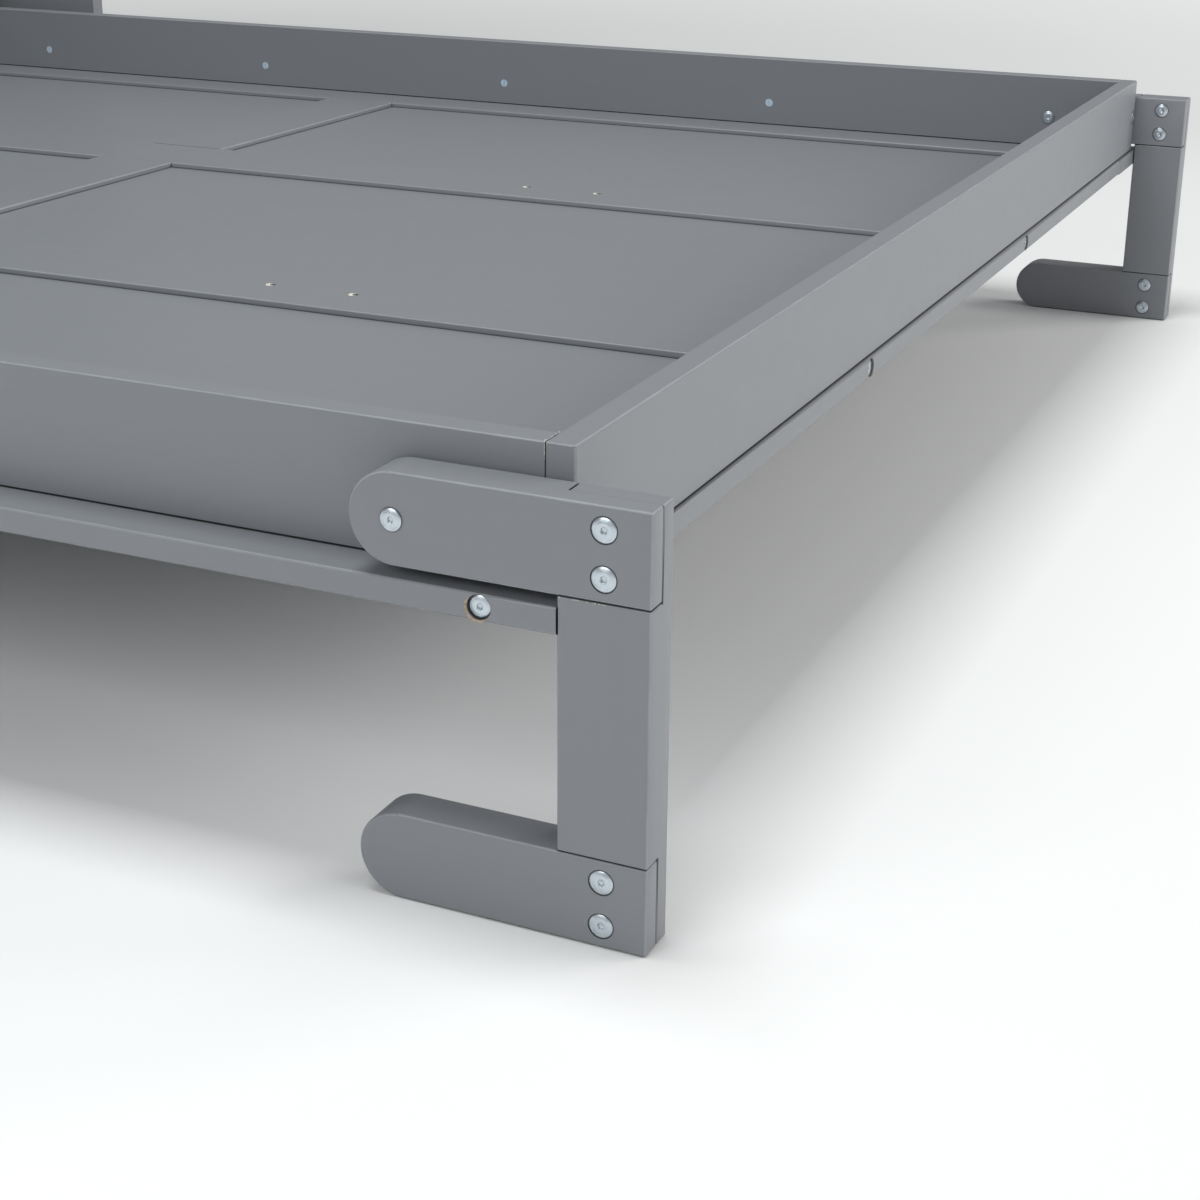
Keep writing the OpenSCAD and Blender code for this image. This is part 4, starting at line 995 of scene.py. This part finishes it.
def corner_lines(side, end):
    """Joint lines of a tray corner: the top of the side rail's face, and across its edge."""
    low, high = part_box(side + "_side_rail")
    y = low.y if end == "foot" else high.y
    x, sign = (low.x, -1) if side == "left" else (high.x, 1)
    inner = x - sign * (high.x - low.x)
    lowest, corner = Vector((x, y, high.z - CORNER_CHIPS)), Vector((x, y, high.z))
    return [(lowest, corner, facing_turn(0, sign), CORNER_FLAKE, CORNER_SPREAD),
            (corner, Vector((inner, y, high.z)), facing_turn(2, 1), TOP_FLAKE, TOP_SPREAD)]


def lap_lines(side):
    """Joint lines of a leg's upper half lap, on the lip of its groove in the upright."""
    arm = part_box(side + "_leg_upper_arm")
    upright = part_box(side + "_leg_upright")
    width = upright[1].y - upright[0].y
    x, z = arm[0].x + LAP_LIP[0], arm[0].z - LAP_LIP[1]
    return [(Vector((x, upright[1].y - a * width, z)), Vector((x, upright[1].y - b * width, z)),
             LIP_TURN, LAP_FLAKE, LAP_SPREAD) for a, b in LAP_STRETCHES]


corners = [line for side in ("left", "right") for end in ("foot", "head")
           for line in corner_lines(side, end)]
chip_joints("chipped_tray_corners", corners, "bed", CORNER_STEP, CORNER_KEPT, 5)
for side, seed in (("left", 9), ("right", 14)):
    chip_joints("chipped_" + side + "_laps", lap_lines(side), BODY_OF[side + "_leg_upright"],
                LAP_STEP, LAP_KEPT, seed)

# %% Put the patterns away
for pattern in (pattern_head, pattern_shank, pattern_washer, pattern_flake):
    bpy.data.objects.remove(pattern)

# %% [markdown]
# ## Floor and light
# The floor is plain and pale. Far from the bed it glows faintly, so that it runs into the
# white of the backdrop, as a curved studio floor does; near the bed it only reflects. The
# light copies a small studio: an even sky fills the shadows, a box overhead gives the tops
# their tone, two wide boxes in front light the foot rail, and a box on the left stands close,
# so that its light fades across the bed and the far leg stays darker.

# %% Floor and light
SKY_LIGHT = 0.315
FLOOR_HALF = 40
FLOOR_DARK, FLOOR_LIGHT = 0.90, 0.93
GLOW_FROM, GLOW_FULL, FLOOR_GLOW = 2.5, 7.0, 0.60
SOFT_BOXES = [
    # name, place, aim, size, watts, colour
    ("front_box", (0.0, -6.0, 2.2), (0.0, -1.0, 0.3), (4.0, 2.4), 70, (1.0, 0.985, 0.97)),
    ("right_box", (2.5, -5.0, 2.6), (0.3, -1.0, 0.2), (3.0, 2.4), 102, (1.0, 0.985, 0.97)),
    ("left_box", (-3.4, 0.0, 2.0), (-0.6, 0.0, 0.2), (2.2, 1.6), 33, (0.97, 0.99, 1.0)),
    ("top_box", (-0.6, -0.2, 4.0), (-0.2, -0.2, 0.2), (1.6, 1.6), 84, (0.97, 1.0, 1.0)),
]


def lay_floor():
    """A wide pale floor that begins to glow away from the bed."""
    mesh = bpy.data.meshes.new("studio_floor")
    half = FLOOR_HALF
    mesh.from_pydata([(-half, -half, 0), (half, -half, 0), (half, half, 0), (-half, half, 0)], [],
                     [(0, 1, 2, 3)])
    floor = bpy.data.objects.new("studio_floor", mesh)
    bpy.context.scene.collection.objects.link(floor)
    material, tree, shader = blank_material("pale_floor")
    cloud = noise(tree, 0.7, detail=2)
    tree.links.new(mixed(tree, cloud, grey(FLOOR_DARK), grey(FLOOR_LIGHT)),
                   shader.inputs["Base Color"])
    shader.inputs["Roughness"].default_value = 0.9
    coords = tree.nodes.new("ShaderNodeTexCoord")
    away = vector_math(tree, "LENGTH", coords.outputs["Object"])
    shader.inputs["Emission Color"].default_value = (1, 1, 1, 1)
    tree.links.new(ranged(tree, away, GLOW_FROM, GLOW_FULL, 0.0, FLOOR_GLOW),
                   shader.inputs["Emission Strength"])
    mesh.materials.append(material)


def light_the_sky():
    """White to the camera; as light, an even and dimmer grey."""
    world = bpy.data.worlds.new("studio_sky")
    world.use_nodes = True
    tree = world.node_tree
    seen = tree.nodes["Background"]
    seen.inputs["Color"].default_value = (1, 1, 1, 1)
    lit = put(tree, "ShaderNodeBackground", Color=(0.97, 0.99, 1.0, 1), Strength=SKY_LIGHT)
    path = tree.nodes.new("ShaderNodeLightPath")
    both = tree.nodes.new("ShaderNodeMixShader")
    output = next(n for n in tree.nodes if n.type == "OUTPUT_WORLD")
    tree.links.new(path.outputs["Is Camera Ray"], both.inputs["Fac"])
    tree.links.new(lit.outputs["Background"], both.inputs[1])
    tree.links.new(seen.outputs["Background"], both.inputs[2])
    tree.links.new(both.outputs["Shader"], output.inputs["Surface"])
    bpy.context.scene.world = world


def soft_box(name, at, to, size, watts, colour):
    """A rectangular area light at one point, aimed at another."""
    data = bpy.data.lights.new(name, "AREA")
    data.energy = watts
    data.color = colour
    data.shape = "RECTANGLE"
    data.size, data.size_y = size
    light = bpy.data.objects.new(name, data)
    light.location = at
    light.rotation_euler = (Vector(to) - Vector(at)).to_track_quat("-Z", "Y").to_euler()
    bpy.context.scene.collection.objects.link(light)


lay_floor()
light_the_sky()
for box in SOFT_BOXES:
    soft_box(*box)
bpy.context.scene.view_settings.view_transform = "Standard"
